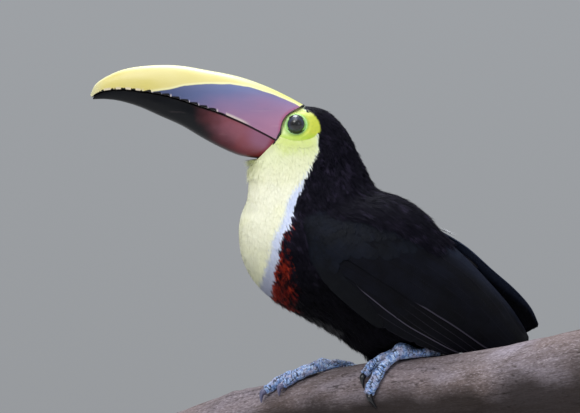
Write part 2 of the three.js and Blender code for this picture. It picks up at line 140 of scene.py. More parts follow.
wing = {
    "top": [(-70, 270), (-56, 276), (-34, 279), (-8, 279), (17, 272), (42, 255), (65, 237), (85, 216.5),
            (103.5, 195.5), (115, 179), (122, 166)],
    "bottom": [(-72, 256), (-63, 227), (-47, 205), (-26, 186), (0, 170), (26, 159), (53, 150), (80, 144),
               (102, 143), (114, 150), (121, 158)],
    "upperOut": [36, 35, 31, 26, 20, 13, 8, 5, 4, 3.4, 2.8],
    "lowerOut": [38, 43, 45, 46, 45, 42, 38, 31, 24, 16, 8],
    "bulge": [3, 10, 15, 18, 20, 21, 20, 17, 12, 7, 2],
    "thick": [4, 5, 6, 6, 6, 6, 5.5, 5, 4, 3, 1.8],
    "rise": [0, 0, 0, 0, 1, 4, 7.5, 9.5, 13, 15, 14],
}
tail = {"root": (56, 193), "droop": math.radians(42), "length": 168,
        "halfWidth": [17, 21, 24, 26.5, 28.5, 29, 25, 12], "thick": [24, 17, 11, 7.5, 5.5, 4.6, 4, 3]}
perch = {
    "turn": math.radians(35),
    # x, height, radius
    "stations": [(-186, 65, 26), (-140, 79.5, 27.5), (-95, 93, 29.5), (-45, 104.5, 32), (5, 112.5, 33.5),
                 (50, 116.5, 34.5), (90, 122, 36), (130, 131, 39), (180, 140, 42)],
    "ripples": [(.025, 3, 31), (.015, 5, -19)],  # height, lobes, pitch
    "knots": [(-22, 118, 16, 2.6), (92, 60, 20, 2.2), (-120, 20, 15, 2)],  # x, degrees round, reach, rise
}


def bodySurface(place, turn, out=0.0):  # turn 0 is the back, half a turn the belly; the left side is past it
    top, bottom = between(body["top"], place), between(body["bottom"], place)
    middle = (top + bottom) / 2
    up = top - middle
    length = np.linalg.norm(up, axis=-1)
    rise = np.cos(turn)
    reach = ((length + out) / length * rise)[..., None]
    breadth = (between(body["width"], place) + out) * (1 - between(body["low"], place) * rise)
    xz = middle + up * reach
    return np.stack([xz[..., 0], np.sin(turn) * breadth, xz[..., 1]], -1)


def billSurface(half, place, share, out=0.0):  # share runs from one cutting edge, -1, over the middle to 1
    ends = len(half["width"]) - 1
    upper = half is bill["upper"]
    side = np.abs(share)
    fall = 1 - np.cos(side * math.pi / 2) if upper else np.cos(side * math.pi / 2)
    bite = half["bite"] * np.sin(math.pi * fall) * np.clip(1 - place / ends, 0, 1) ** 3
    at = place + bite * ends
    top, bottom = between(half["top"], at), between(half["bottom"], at)
    down = bottom - top
    margin = out / np.linalg.norm(down, axis=-1)
    breadth = between(half["width"], at) * np.sin(side * math.pi / 2) ** .8 * (1 - half["lean"] * side ** 5)
    xz = top + down * mix(-margin, 1 + margin, fall)[..., None]
    return np.stack([xz[..., 0], np.sign(share) * (breadth + out * side ** .5), xz[..., 1]], -1)


def wingLine(place, side):  # the wing's upper and lower edge at a place along it
    top, bottom = between(wing["top"], place), between(wing["bottom"], place)
    if side == right:
        rise = between(wing["rise"], place)[..., None] * np.array([.62, .78])
        top = top + rise
        bottom = bottom + rise * (np.clip(place, 0, 10) / 10)[..., None] ** 4
    return top, bottom


def wingSurface(place, share, side, out=0.0):
    top, bottom = wingLine(place, side)
    over, under = between(wing["upperOut"], place), between(wing["lowerOut"], place)
    bulge = between(wing["bulge"], place)

    def face(part):
        xz = top + (bottom - top) * part[..., None]
        return np.stack([xz[..., 0], mix(over, under, part) + bulge * np.sin(math.pi * part), xz[..., 1]],
                        -1)
    along = unit(face(share + .01) - face(share - .01))
    outward = unit(np.array([0, 1, 0]) - along * along[..., 1:2])
    point = face(np.asarray(share)) + outward * np.asarray(out)[..., None]
    point[..., 1] = np.maximum(point[..., 1], .6) * side
    return point


def wingPlace(xz, side):  # where a point of the side view lies on the wing
    low, high = np.full(xz.shape[:-1], -.6), np.full(xz.shape[:-1], 10.9)
    for _ in range(26):
        place = (low + high) / 2
        top, bottom = wingLine(place, side)
        down, away = bottom - top, xz - top
        behind = down[..., 0] * away[..., 1] - down[..., 1] * away[..., 0] > 0
        low, high = np.where(behind, place, low), np.where(behind, high, place)
    top, bottom = wingLine(place, side)
    down = bottom - top
    share = ((xz - top) * down).sum(-1) / (down * down).sum(-1)
    return place, share


def tailSurface(along, across, over=0.0):  # along 0 to 1, across and over in millimetres
    way = np.array([math.cos(tail["droop"]), 0, -math.sin(tail["droop"])])
    up = np.array([math.sin(tail["droop"]), 0, math.cos(tail["droop"])])
    root = np.array([tail["root"][0], 0, tail["root"][1]])
    point = root + way * (tail["length"] * np.asarray(along))[..., None] + up * np.asarray(over)[..., None]
    point[..., 1] += across
    return point


def perchAxis(x):
    table = np.array(perch["stations"], float)
    i = np.clip(np.searchsorted(table[:, 0], x, side="right") - 1, 0, len(table) - 2)
    place = i + (x - table[i, 0]) / (table[i + 1, 0] - table[i, 0])
    height, radius = between(table[:, 1], place), between(table[:, 2], place)
    return np.stack([x, -x * math.tan(perch["turn"]), height], -1), radius


def perchFrame(x):
    along = unit(perchAxis(x + 1)[0] - perchAxis(x - 1)[0])
    toLeft = np.array([-math.sin(perch["turn"]), -math.cos(perch["turn"]), 0])
    up = np.cross(along, toLeft)
    return toLeft, unit(up * np.sign(up[..., 2:3]))


def perchReach(x, around):
    radius = perchAxis(x)[1]
    reach = radius * (1 + sum(h * np.sin(n * around + x / pitch) for h, n, pitch in perch["ripples"]))
    for place, turn, size, rise in perch["knots"]:
        away = np.hypot(x - place, radius * (around - math.radians(turn))) / size
        reach = reach + rise * np.exp(-away * away)
    return reach


perchEnds = perch["stations"][0][0], perch["stations"][-1][0]


def perchSurface(x, around, over=0.0):  # round the branch from its top towards the bird's left
    x, around = np.asarray(x, float), np.asarray(around, float)
    toLeft, up = perchFrame(x)
    reach = (perchReach(x, around) + over)[..., None]
    sideways, upward = toLeft * reach * np.sin(around)[..., None], up * reach * np.cos(around)[..., None]
    return perchAxis(x)[0] + sideways + upward


def clearOfPerch(points, room=.5):  # lifts what would be inside the branch out to its surface
    shape = points.shape
    points = points.reshape(-1, 3)
    way = np.array([math.cos(perch["turn"]), -math.sin(perch["turn"])])
    x = np.clip((points[:, :2] @ way) * way[0], *perchEnds)
    toLeft, up = perchFrame(x)
    away = points - perchAxis(x)[0]
    sideways, upward = (away * toLeft).sum(-1), (away * up).sum(-1)
    reach = np.hypot(sideways, upward)
    need = perchReach(x, np.arctan2(sideways, upward)) + room
    push = np.clip(need - reach, 0, None) / np.maximum(reach, 1e-6)
    return (points + (toLeft * sideways[:, None] + up * upward[:, None]) * push[:, None]).reshape(shape)


# meshes

def keepValues(mesh, values):  # one number for each point, for the materials to read
    for key, data in values.items():
        layer = mesh.attributes.new(key, "FLOAT", "POINT")
        layer.data.foreach_set("value", np.ascontiguousarray(data, np.float32).ravel())


def makePiece(name, points, faces, material, values=None, uv=None):
    mesh = bpy.data.meshes.new(name)
    points = np.ascontiguousarray(points, np.float32).reshape(-1, 3) * mm
    blocks = [np.asarray(block, np.int32) for block in (faces if isinstance(faces, list) else [faces])]
    loops = np.concatenate([block.ravel() for block in blocks])
    sizes = np.concatenate([np.full(len(block), block.shape[1], np.int32) for block in blocks])
    mesh.vertices.add(len(points))
    mesh.vertices.foreach_set("co", points.ravel())
    mesh.loops.add(len(loops))
    mesh.loops.foreach_set("vertex_index", loops)
    mesh.polygons.add(len(sizes))
    mesh.polygons.foreach_set("loop_start", np.concatenate([[0], np.cumsum(sizes)[:-1]]).astype(np.int32))
    mesh.polygons.foreach_set("use_smooth", np.ones(len(sizes), bool))
    mesh.update(calc_edges=True)
    keepValues(mesh, values or {})
    if uv is not None:
        layer = mesh.uv_layers.new(name="OFBake")
        layer.data.foreach_set("uv", np.ascontiguousarray(uv, np.float32).reshape(-1, 2)[loops].ravel())
    mesh.materials.append(material)
    piece = bpy.data.objects.new(name, mesh)
    bpy.context.scene.collection.objects.link(piece)
    return piece


def gridFaces(rows, columns, wrap=False):  # quads of a grid; wrap joins its last column to the first
    across = np.arange(columns if wrap else columns - 1)
    beside = (across + 1) % columns
    row = (np.arange(rows - 1) * columns)[:, None]
    return np.stack([row + across, row + beside, row + columns + beside, row + columns + across],
                    -1).reshape(-1, 4)


def capFaces(first, count, flip):  # a fan of quads over a ring's end
    faces = [(first + i, first + i + 1, first + count - 2 - i, first + count - 1 - i)
             for i in range(count // 2 - 1)]
    return np.array([face[::-1] for face in faces] if flip else faces)


def closedLoft(rings):  # faces of rings that close round and have both ends shut
    rows, columns = rings.shape[:2]
    return np.concatenate([gridFaces(rows, columns, wrap=True), capFaces(0, columns, True),
                           capFaces((rows - 1) * columns, columns, False)])


def finishPiece(piece, slot, *nodes):
    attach(piece, "root")
    if nodes:
        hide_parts(*nodes)


# materials

def colour(hexCode):
    parts = [int(hexCode[i:i + 2], 16) / 255 for i in (1, 3, 5)]
    return tuple(c / 12.92 if c <= .04045 else ((c + .055) / 1.055) ** 2.4 for c in parts) + (1,)


class Look:  # a material and short ways to add nodes to it
    def __init__(self, name, roughness, specular=None):
        self.material = bpy.data.materials.new(name)
        self.material.use_nodes = True
        self.tree = self.material.node_tree
        self.shader = self.tree.nodes["Principled BSDF"]
        self.rough(roughness)
        if specular is not None:
            self.join(self.shader.inputs["Specular IOR Level"], specular)

    def node(self, kind, **settings):
        made = self.tree.nodes.new(kind)
        for key, value in settings.items():
            setattr(made, key, value)
        return made

    def join(self, target, value):  # a number, a colour, the name of a value kept on the mesh, or a socket
        if isinstance(value, str):
            value = colour(value) if value[0] == "#" else self.value(value)
        if isinstance(value, bpy.types.NodeSocket):
            self.tree.links.new(value, target)
        else:
            target.default_value = value

    def value(self, name):  # a value kept on the mesh
        return self.node("ShaderNodeAttribute", attribute_name=name).outputs["Fac"]

    def place(self, scale=(1, 1, 1)):
        mapping = self.node("ShaderNodeMapping")
        mapping.inputs["Scale"].default_value = scale
        self.tree.links.new(self.node("ShaderNodeTexCoord").outputs["Object"], mapping.inputs["Vector"])
        return mapping.outputs["Vector"]

    def kept(self, names, scale=(1, 1, 1)):  # a place from three values kept on the mesh
        made = self.node("ShaderNodeCombineXYZ")
        for name, target, size in zip(names, made.inputs, scale):
            self.join(target, self.times(name, size))
        return made.outputs[0]

    def noise(self, scale, detail=3.0, stretch=(1, 1, 1), distortion=0.0, at=None):
        made = self.node("ShaderNodeTexNoise")
        made.inputs["Scale"].default_value = scale
        made.inputs["Detail"].default_value = detail
        made.inputs["Distortion"].default_value = distortion
        self.tree.links.new(self.kept(at, stretch) if at else self.place(stretch), made.inputs["Vector"])
        return made.outputs["Fac"]

    def height(self):  # metres over the floor
        made = self.node("ShaderNodeSeparateXYZ")
        self.tree.links.new(self.place(), made.inputs[0])
        return made.outputs[2]

    def cells(self, scale, feature="F1"):
        made = self.node("ShaderNodeTexVoronoi", feature=feature)
        made.inputs["Scale"].default_value = scale
        self.tree.links.new(self.place(), made.inputs["Vector"])
        return made.outputs["Distance"]

    def sum(self, operation, *values):
        made = self.node("ShaderNodeMath", operation=operation)
        for i, value in enumerate(values):
            self.join(made.inputs[i], value)
        return made.outputs[0]

    def add(self, first, second):
        return self.sum("ADD", first, second)

    def less(self, first, second):
        return self.sum("SUBTRACT", first, second)

    def times(self, first, second):
        return self.sum("MULTIPLY", first, second)

    def fit(self, value, low, high, start=0.0, end=1.0):
        made = self.node("ShaderNodeMapRange", interpolation_type="SMOOTHSTEP")
        for i, item in enumerate((value, low, high, start, end)):
            self.join(made.inputs[i], item)
        return made.outputs[0]

    def blend(self, share, first, second, kind="MIX"):
        made = self.node("ShaderNodeMix", data_type="RGBA", blend_type=kind)
        self.join(made.inputs[0], share)
        self.join(made.inputs[6], first)
        self.join(made.inputs[7], second)
        return made.outputs[2]

    def over(self, base, tint, value, *ends):  # a tint that comes in as a value runs between its ends
        return self.blend(self.fit(value, *ends), base, tint)

    def layers(self, base, rows):  # each row: a tint, and the value and ends between which it comes in
        for tint, *ends in rows:
            base = self.over(base, tint, *ends)
        return base

    def paint(self, result):
        self.join(self.shader.inputs["Base Color"], result)

    def rough(self, result):
        self.join(self.shader.inputs["Roughness"], result)

    def relief(self, height, distance, strength=1.0):
        made = self.node("ShaderNodeBump")
        made.inputs["Strength"].default_value = strength
        made.inputs["Distance"].default_value = distance * mm
        self.join(made.inputs["Height"], height)
        self.join(self.shader.inputs["Normal"], made.outputs[0])


# camera, lights and stage

view = {
    "at": (-80.75, -2600, 276.2),  # looks along +Y
    "wide": 493,  # width of the view at the bird, millimetres
}
lights = {
    # name: place, aimed at, size, watts, colour
    "key": ((-900, -1500, 1700), (-40, 0, 260), 900, 21, "#FBF9F6"),
    "top": ((-250, -700, 1900), (-60, 0, 280), 1300, 13, "#EEF3FF"),
    "fill": ((1300, -1700, 700), (0, 0, 220), 1200, 5, "#E8F0FF"),
    "crown": ((-150, 500, 1700), (-60, 0, 280), 700, 20, "#F2F7FF"),
}
stage = {"colour": "#D3D2CE", "mottled": "#D9D8D5", "radius": 1400, "sides": 96,
         "worldLow": "#B9BCC0", "worldHigh": "#CDD2D8", "worldFrom": -.12, "worldTo": .25,
         "worldStrength": .62}


def addCamera():
    data = bpy.data.cameras.new("camera")
    data.sensor_width = 36
    data.lens = 36 * -view["at"][1] / view["wide"]
    data.clip_end = 50
    camera = bpy.data.objects.new("camera", data)
    camera.location = [c * mm for c in view["at"]]
    camera.rotation_euler = (math.pi / 2, 0, 0)
    bpy.context.scene.collection.objects.link(camera)
    bpy.context.scene.camera = camera


def addLights():
    for name, (at, target, size, power, tint) in lights.items():
        data = bpy.data.lights.new(name, "AREA")
        data.shape = "DISK"
        data.size = size * mm
        data.energy = power
        data.color = colour(tint)[:3]
        lamp = bpy.data.objects.new(name, data)
        lamp.location = [c * mm for c in at]
        aim = np.array(at, float) - np.array(target, float)
        lamp.rotation_euler = (math.acos(aim[2] / np.linalg.norm(aim)), 0,
                               math.atan2(aim[1], aim[0]) + math.pi / 2)
        bpy.context.scene.collection.objects.link(lamp)
    world = bpy.data.worlds.new("studio")
    world.use_nodes = True
    tree = world.node_tree
    background = tree.nodes["Background"]
    background.inputs["Strength"].default_value = stage["worldStrength"]
    across = tree.nodes.new("ShaderNodeSeparateXYZ")
    tree.links.new(tree.nodes.new("ShaderNodeTexCoord").outputs["Generated"], across.inputs[0])
    ramp = tree.nodes.new("ShaderNodeMapRange")
    ramp.inputs["From Min"].default_value = stage["worldFrom"]
    ramp.inputs["From Max"].default_value = stage["worldTo"]
    tree.links.new(across.outputs[2], ramp.inputs[0])
    tint = tree.nodes.new("ShaderNodeMix")
    tint.data_type = "RGBA"
    tree.links.new(ramp.outputs[0], tint.inputs[0])
    tint.inputs[6].default_value = colour(stage["worldLow"])
    tint.inputs[7].default_value = colour(stage["worldHigh"])
    tree.links.new(tint.outputs[2], background.inputs["Color"])
    bpy.context.scene.world = world
    bpy.context.scene.view_settings.view_transform = "Standard"


def addStage():  # a round floor, out of sight below
    turn = roundIn(stage["sides"])
    points = np.array([[(r * math.cos(a), r * math.sin(a), 0) for a in turn] for r in (1, stage["radius"])])
    look = Look("stagePaper", .9)
    look.paint(look.blend(look.noise(3), stage["colour"], stage["mottled"]))
    makePiece("stage_floor", points, gridFaces(2, stage["sides"], wrap=True), look.material)


addCamera()
addLights()
addStage()
print("camera, lights and stage placed")


# where the bird's markings lie, seen from the side

marks = {
    # height, and x of the bib's rear edge
    "bibEdge": [(359.1, -68.9), (352.3, -62), (343.8, -57.8), (332.8, -57), (326, -57), (318.3, -59.5),
                (311.5, -62.9), (300.5, -68), (292, -72.2), (283.5, -75.6), (273.2, -78.2), (263, -81.6),
                (256.2, -86.7), (247.8, -90.1), (237.6, -91.8), (229, -93.5), (218, -96), (209.5, -97.8),
                (199.3, -99.4)],
    # height, and breadth of the pale band inside the edge and of the red one outside it
    "paleBand": [(308, 0), (296, 3.5), (290, 6), (273, 7.6), (256, 7.6), (239, 7.2), (222, 9), (209, 11),
                 (198, 14)],
    "redBand": [(266, 0), (260, 2.4), (248, 4.2), (239, 7), (231, 10), (222, 14), (213, 21), (205, 21),
                (197, 19), (188, 25), (182, 14), (176, 0)],
    "bareFace": {"x": -74.5, "z": 341.5, "long": 19.5, "high": 17.5, "low": 10.2},
}


def reading(table, height):
    heights, amounts = np.array(table[::-1]).T
    return np.interp(height, heights, amounts)


def markings(points, fray=0):  # how far inside each marking a point lies, in millimetres
    x, z = points[..., 0], points[..., 2]
    wander = .9 * noise3(points / 4, 5)
    band = reading(marks["redBand"], z)
    bib = reading(marks["bibEdge"], z) - x + wander
    bib = np.where(z > 362, -5, bib)
    face = marks["bareFace"]
    reach = np.where(z > face["z"], face["high"], face["low"])
    bare = 1 - np.hypot((x - face["x"]) / face["long"], (z - face["z"]) / reach)
    return {"bib": bib, "pale": reading(marks["paleBand"], z) - bib,
            "red": np.where(band > 1, np.minimum(band + bib + fray, -bib + .1), -9),
            "bare": bare * face["high"]}


def plumageColour(look):  # black, cream, blue-white and red, by the markings kept on the mesh
    shade = look.value("shade")
    height = look.height()
    soot = look.blend(look.noise(260, 4), "#08080E", "#13111B")
    soot = look.layers(soot, [
        # painted sheen: random strands of the black made lighter and bluer
        ("#342E40", shade, .55, .85, 0, .8),
        # painted shade: the black goes near-black below 0.25 m, on the underside
        ("#010102", height, .25, .2, 0, .92),
    ])
    cream = look.layers("#F8F7DE", [
        ("#E3E9B4", height, .285, .335),
        ("#D6E288", "bare", -22, -2, 0, .95),
        # painted shade: the cream darker and greyer below 0.27 m, on the underside
        ("#A9AA90", height, .268, .2, 0, .85),
        ("#F3F3C8", look.noise(45, 3), .42, .7, 0, .4),
        ("#D6D9B6", shade, 0, .5, .12, 0),
    ])
    pale = look.blend(shade, "#CBD5EE", "#E4EAFA")
    # painted shade: the pale band darker and greyer below 0.26 m, on the underside
    pale = look.over(pale, "#7F8192", height, .262, .2, 0, .85)
    red = look.layers("#180606", [
        ("#741A10", shade, .2, .5),
        ("#CC4522", shade, .5, .95),
    ])
    inBib = look.fit("bib", -.3, .3)
    result = look.blend(inBib, soot, cream)
    result = look.blend(look.times(look.fit("pale", -2.5, 2.5), inBib), result, pale)
    result = look.over(result, red, "red", -.3, .8)
    return look.blend("white", result, "#E6E6E8")


def plumage():
    look = Look("softPlumage", .6, specular=.08)
    look.shader.inputs["Specular Tint"].default_value = (.78, .74, 1, 1)
    base = plumageColour(look)
    # painted shade: each vane darker towards its root, where the vanes over it shade it; less on the bib and
    # none at the bare face
    root = look.times(look.fit("along", 0, .7, .3, 0), look.fit("bib", 0, 2, 1, .45))
    root = look.times(root, look.fit("bare", -7, -2, 1, 0))
    look.paint(look.blend(root, base, "#000000", "MULTIPLY"))
    return look.material


def skinUnder():  # bare yellow-green face, and the markings again under the feathers
    look = Look("faceSkin", .5, specular=.25)
    rho = look.value("eyeAway")
    rear = look.value("rear")
    bare = look.layers("#DAEDA2", [
        ("#C3C944", rear, -9, 13),
        ("#E2E698", "under", -6, -13, 0, .8),
        ("#AECB3C", "under", 6.5, 11, 0, .8),
        ("#D6E288", "under", 12, 16, 0, .6),
        ("#93AC48", look.noise(420, 3), .4, .75, 0, .3),
        ("#A6D25E", rho, 9.6, 12.2, .6, 0),
    ])
    lid = look.blend(look.noise(500, 2), "#AEE08A", "#CDF2B0")
    bare = look.layers(bare, [
        (lid, rho, 9, 10.2, 1, 0),
        ("#98CE7C", rho, 7.7, 8.4, 1, 0),
        ("#2E3A30", rho, 7, 7.6, 1, 0),
    ])
    # painted shade: the skin under the feathers takes the markings' colour, made a little darker
    under = look.blend(.12, plumageColour(look), "#000000", "MULTIPLY")
    look.paint(look.over(under, bare, "bare", -1.2, 1.2))
    crinkle = look.add(look.cells(700, feature="DISTANCE_TO_EDGE"), look.times(look.noise(900, 4), .6))
    look.relief(crinkle, .22, .8)
    return look.material


def legSkin():  # blue scaly skin with dark creases
    look = Look("legSkin", .5)
    crease = look.value("crease")
    blue = look.layers("#7094D2", [
        # painted highlight: pale blue in random patches over the scales
        ("#C2DAFC", look.noise(420, 5), .38, .66),
        ("#ACA4B8", look.noise(170, 3), .44, .66, 0, .75),
        ("#414A6A", look.noise(1500, 4), .52, .64, 0, .75),
        # the creases between the scales darker: partly the skin's own colour, partly painted shade in the
        # grooves
        ("#1C2439", crease, .06, .5, 0, .88),
    ])
    look.paint(look.over(blue, "#080B16", crease, .6, .95))
    look.relief(look.add(look.noise(1500, 3), look.times(look.cells(900), .8)), .15, .7)
    return look.material


plumageLook = plumage()
skinLook = skinUnder()
legLook = legSkin()
print("feather and skin materials made")


# the legs

feet = {
    # a place is x along the branch, degrees round it and height over the bark
    # a toe has places, thicknesses there and the place of its claw's tip
    left: {
        "heel": (31, -40, 4.4), "knuckle": (22.5, 18, 7.8),
        "toes": {
            "outer_front": ([(21.5, 22, 7.4), (15.5, 41, 4.8), (11, 60, 4.2), (7, 78, 3.8)],
                            [4.8, 4, 4.2, 4.2], (11, 100, 1.2)),
            "inner_front": ([(20, 17, 6.8), (10.5, 28, 4.8), (5, 38, 4.2), (1, 51, 3.9)],
                            [4.4, 3.7, 3.8, 3.4], (1, 71, 1.5)),
            "outer_back": ([(21, 18, 5), (29, 13, 3.9), (36, 3, 3.5), (42, -11, 3.4)], [4.3, 3.5, 3.5, 3.1],
                           (47, -32, 1.4)),
            "inner_back": ([(18, 9, 5), (19, -6, 4), (20, -22, 3.8), (20, -36, 3.6)], [4.1, 3.4, 3.4, 3],
                           (20, -60, 1.4)),
        },
    },
    right: {
        "heel": (-18, -46, 4.6), "knuckle": (-47, 4, 3.8),
        "toes": {
            "outer_front": ([(-50, 8, 5), (-61, 20, 4.5), (-72, 34, 4.2), (-82, 49, 3.8)],
                            [4.6, 3.8, 4, 3.4], (-87, 67, 1.4)),
            "inner_front": ([(-48, 16, 5), (-54, 27, 4.5), (-61, 37, 4.2), (-67, 47, 3.8)],
                            [4.4, 3.7, 3.8, 3.2], (-71, 63, 1.4)),
            "outer_back": ([(-48, -1, 4.6), (-51, -16, 4.2), (-54, -34, 4), (-57, -50, 3.7)],
                           [4.4, 3.6, 3.7, 3.2], (-60, -74, 1.4)),
            "inner_back": ([(-46, 4, 4.4), (-40, -5, 3.8), (-35, -18, 3.6), (-32, -33, 3.4)],
                           [4.1, 3.4, 3.4, 3], (-31, -56, 1.4)),
        },
    },
}
sideName = {left: "left", right: "right"}
legs = {"tarsus": 3.7, "calf": 5.4, "knuckle": 6.9, "overrun": 4.3, "plate": 2.2, "plates": 8,
        "groove": .45, "joint": 6.6, "rings": 150, "sides": 44, "shinRings": 140, "jointRings": 40,
        "shinSides": 48,
        "knots": (.75, 9.5), "pads": (.55, 7.5),  # height and spacing along a toe
        "scale": 1.8, "scales": 11, "jointScales": (10, 17)}
# the claws are one horn in two tones: darker on the left foot in painted shade, lighter on the right in
# painted light
claw = {"radius": 2.8, "tip": .35, "bulge": 3.4, "rings": 26, "sides": 16,
        left: ("#060608", "#17171D"), right: ("#3C3A4C", "#77779A")}


def onPerch(place):  # x along the branch, degrees round it, height over the bark
    return perchSurface(np.array(place[0], float), np.array(math.radians(place[1])), place[2])


def smoothSide(along, turn):  # the relief and the creases of a plain tube
    return 0, 0


def tube(line, radii, rings, sides, relief=smoothSide):  # rings that start on the side away from the branch
    line = np.array(line, float)
    share = np.linspace(0, 1, rings)
    middle = between(line, share * (len(line) - 1))
    along = unit(np.gradient(middle, axis=0))
    way = np.array([math.cos(perch["turn"]), -math.sin(perch["turn"])])
    axis = perchAxis((middle[:, :2] @ way) * way[0])[0]
    out = middle - axis
    out = unit(out - along * (out * along).sum(-1, keepdims=True))
    across = np.cross(along, out)
    radius = between(radii, share * (len(radii) - 1))
    turn = roundIn(sides)
    length = np.linalg.norm(np.diff(middle, axis=0), axis=1).sum()
    grow, crease = relief(share[:, None] * length, turn[None, :])
    reach = (radius[:, None] + grow)[..., None]
    points = (middle[:, None] + out[:, None] * np.cos(turn)[None, :, None] * reach
              + across[:, None] * np.sin(turn)[None, :, None] * reach)
    return points, crease + np.zeros((rings, sides))


def cracks(u, v, around, seed):  # deep between cells one unit across; v comes round after so many units
    nearest, second = np.full(np.broadcast(u, v).shape, 9.0), np.full(np.broadcast(u, v).shape, 9.0)
    for du in (-1, 0, 1):
        for dv in (-1, 0, 1):
            cellU, cellV = np.floor(u) + du + 0 * v, np.floor(v) + dv + 0 * u
            spot = np.stack([cellU, cellV % around, 0 * cellU], -1)
            away = np.hypot(cellU + .5 + .4 * noise3(spot, seed) - u,
                            cellV + .5 + .34 * noise3(spot, seed + 1) - v)
            second = np.minimum(second, np.maximum(nearest, away))
            nearest = np.minimum(nearest, away)
    return np.exp(-((second - nearest) / .15) ** 2)


def scutes(along, turn):  # plates over the top of a toe, small scales at its sides, pads under it
    upper = smooth(-.6, .1, np.cos(turn))
    spot = np.stack(np.broadcast_arrays(along * .3, np.cos(turn), np.sin(turn)), -1)
    side = (turn - .6 * np.sin(turn)) / (2 * math.pi) * legs["plates"]
    groove = cracks(along / legs["plate"] + .25 * np.cos(2 * turn), side, legs["plates"], 17)
    groove = groove * np.clip(.6 + .9 * noise3(spot * [2, 2, 2], 19), .1, 1)
    (knotHigh, knotPitch), (padHigh, padPitch) = legs["knots"], legs["pads"]
    knots = knotHigh * np.cos(math.pi * along / knotPitch) ** 4
    pads = padHigh * np.sin(math.pi * along / padPitch) ** 2
    wrinkle = np.exp(-(noise3(spot * [1.4, 3, 3], 23) / .1) ** 2) * .5
    rub = .16 * noise3(spot * [3, 3, 3], 3)
    crease = np.maximum(groove, wrinkle * .6) * mix(.6, 1, upper)
    return upper * (.2 + knots - .12 * wrinkle) - legs["groove"] * groove + (1 - upper) * pads + rub, crease


def hide(along, turn):  # small scales round the shin
    groove = cracks(along / legs["scale"], turn / (2 * math.pi) * legs["scales"], legs["scales"], 8)
    spot = np.stack(np.broadcast_arrays(along / 1.2, 4 * np.cos(turn), 4 * np.sin(turn)), -1)
    return .25 - .35 * groove + .2 * noise3(spot, 9), groove * np.clip(.6 + .7 * noise3(spot / 2, 19), .1, 1)


def legTubes(side):
    foot = feet[side]
    heel, knuckle = onPerch(foot["heel"]), onPerch(foot["knuckle"])
    way = unit(knuckle - heel)
    thin, thick = legs["tarsus"], legs["knuckle"]
    line = [heel - way * legs["overrun"], heel, mix(heel, knuckle, .55), knuckle,
            knuckle + way * legs["overrun"]]
    calf = legs["calf"] if side == left else thin
    yield tube(line, [thin * .9, thin * 1.1, calf, thick, thick * .62], legs["shinRings"],
               legs["shinSides"], hide)
    fall, turn = grid(np.linspace(.03, math.pi - .03, legs["jointRings"]), roundIn(legs["shinSides"]))
    ball = np.stack([np.cos(fall), np.sin(fall) * np.cos(turn), np.sin(fall) * np.sin(turn)], -1)
    down, about = legs["jointScales"]
    groove = cracks(fall / math.pi * down + 0 * turn, turn / (2 * math.pi) * about, about, 29)
    groove = groove * smooth(.3, .7, np.sin(fall)) * np.clip(.55 + .8 * lumps(ball * 4, 1, 37), .1, 1)
    reach = legs["joint"] + .35 * lumps(ball * 3, 1.4, 33) - .35 * groove
    yield knuckle + way * .5 + ball * reach[..., None], groove
    for path, radii, _ in foot["toes"].values():
        line = [onPerch(p) for p in path]
        line.append(line[-1] + unit(line[-1] - line[-2]) * radii[-1] * .55)
        yield tube(line, radii + [radii[-1] * .5], legs["rings"], legs["sides"], scutes)


def clawPiece(side):
    rings, faces, tones, first = [], [], [], 0
    for path, _, tip in feet[side]["toes"].values():
        before, end = onPerch(path[-2]), onPerch(path[-1])
        start, tip = end + unit(end - before) * .6, onPerch(tip)
        outward = unit(onPerch((path[-1][0], path[-1][1], 20)) - end)
        middle = mix(start, tip, .5) + outward * claw["bulge"]
        radius = claw["radius"]
        points, _ = tube([start - (middle - start) * .2, mix(start, middle, .55) + outward * .5, middle,
                          mix(middle, tip, .55) + outward * .35, tip],
                         [radius * .8, radius, radius * .8, radius * .5, claw["tip"]], claw["rings"],
                         claw["sides"])
        points = clearOfPerch(points, .25)
        rings.append(points.reshape(-1, 3))
        faces.append(closedLoft(points) + first)
        tones.append(np.repeat(np.linspace(0, 1, claw["rings"]), claw["sides"]))
        first += points.shape[0] * points.shape[1]
    look = Look(f"clawHorn_{sideName[side]}", .3)
    horn = look.blend(look.noise(300, 3, (1, 1, .3)), *claw[side])
    look.paint(look.over(horn, "#565E78", "along", .02, .2, .35, 0))
    look.relief(look.noise(900, 2), .1, .5)
    piece = makePiece(f"claws_{sideName[side]}", np.concatenate(rings), np.concatenate(faces), look.material,
                      {"along": np.concatenate(tones)})
    toes = feet[side]["toes"]
    finishPiece(piece, "claw", *[f"claw_{sideName[side]}_{toe}" for toe in toes])


for side in (left, right):
    clawPiece(side)
print("claws made")


# the one skin

thigh = {
    left: [(26, -24, 190), (38, -23, 176), (48, -13, 160)],
    right: [(2, 26, 196), (-6, 34, 178), (-8, 38, 158)],
    "radii": [24, 19, 12.5, 7],
}
coatDepth = [(0, .5), (1, .6), (2, .9), (3, 1.6), (4, 2.2), (6, 3), (8, 4), (10, 5), (13, 6.5), (15, 6),
             (16, 4)]
skinUnderneath = {  # how far the skin lies inside the outer form
    "arm": 3.2, "armInside": 5.5, "tail": 2.5, "tailEdge": 5, "thigh": 5.0, "heel": 1.6,
}
lids = {"opening": 6.9, "rim": 7.8, "rimRise": .6, "spread": 13, "fold": .2, "squash": 1.09}


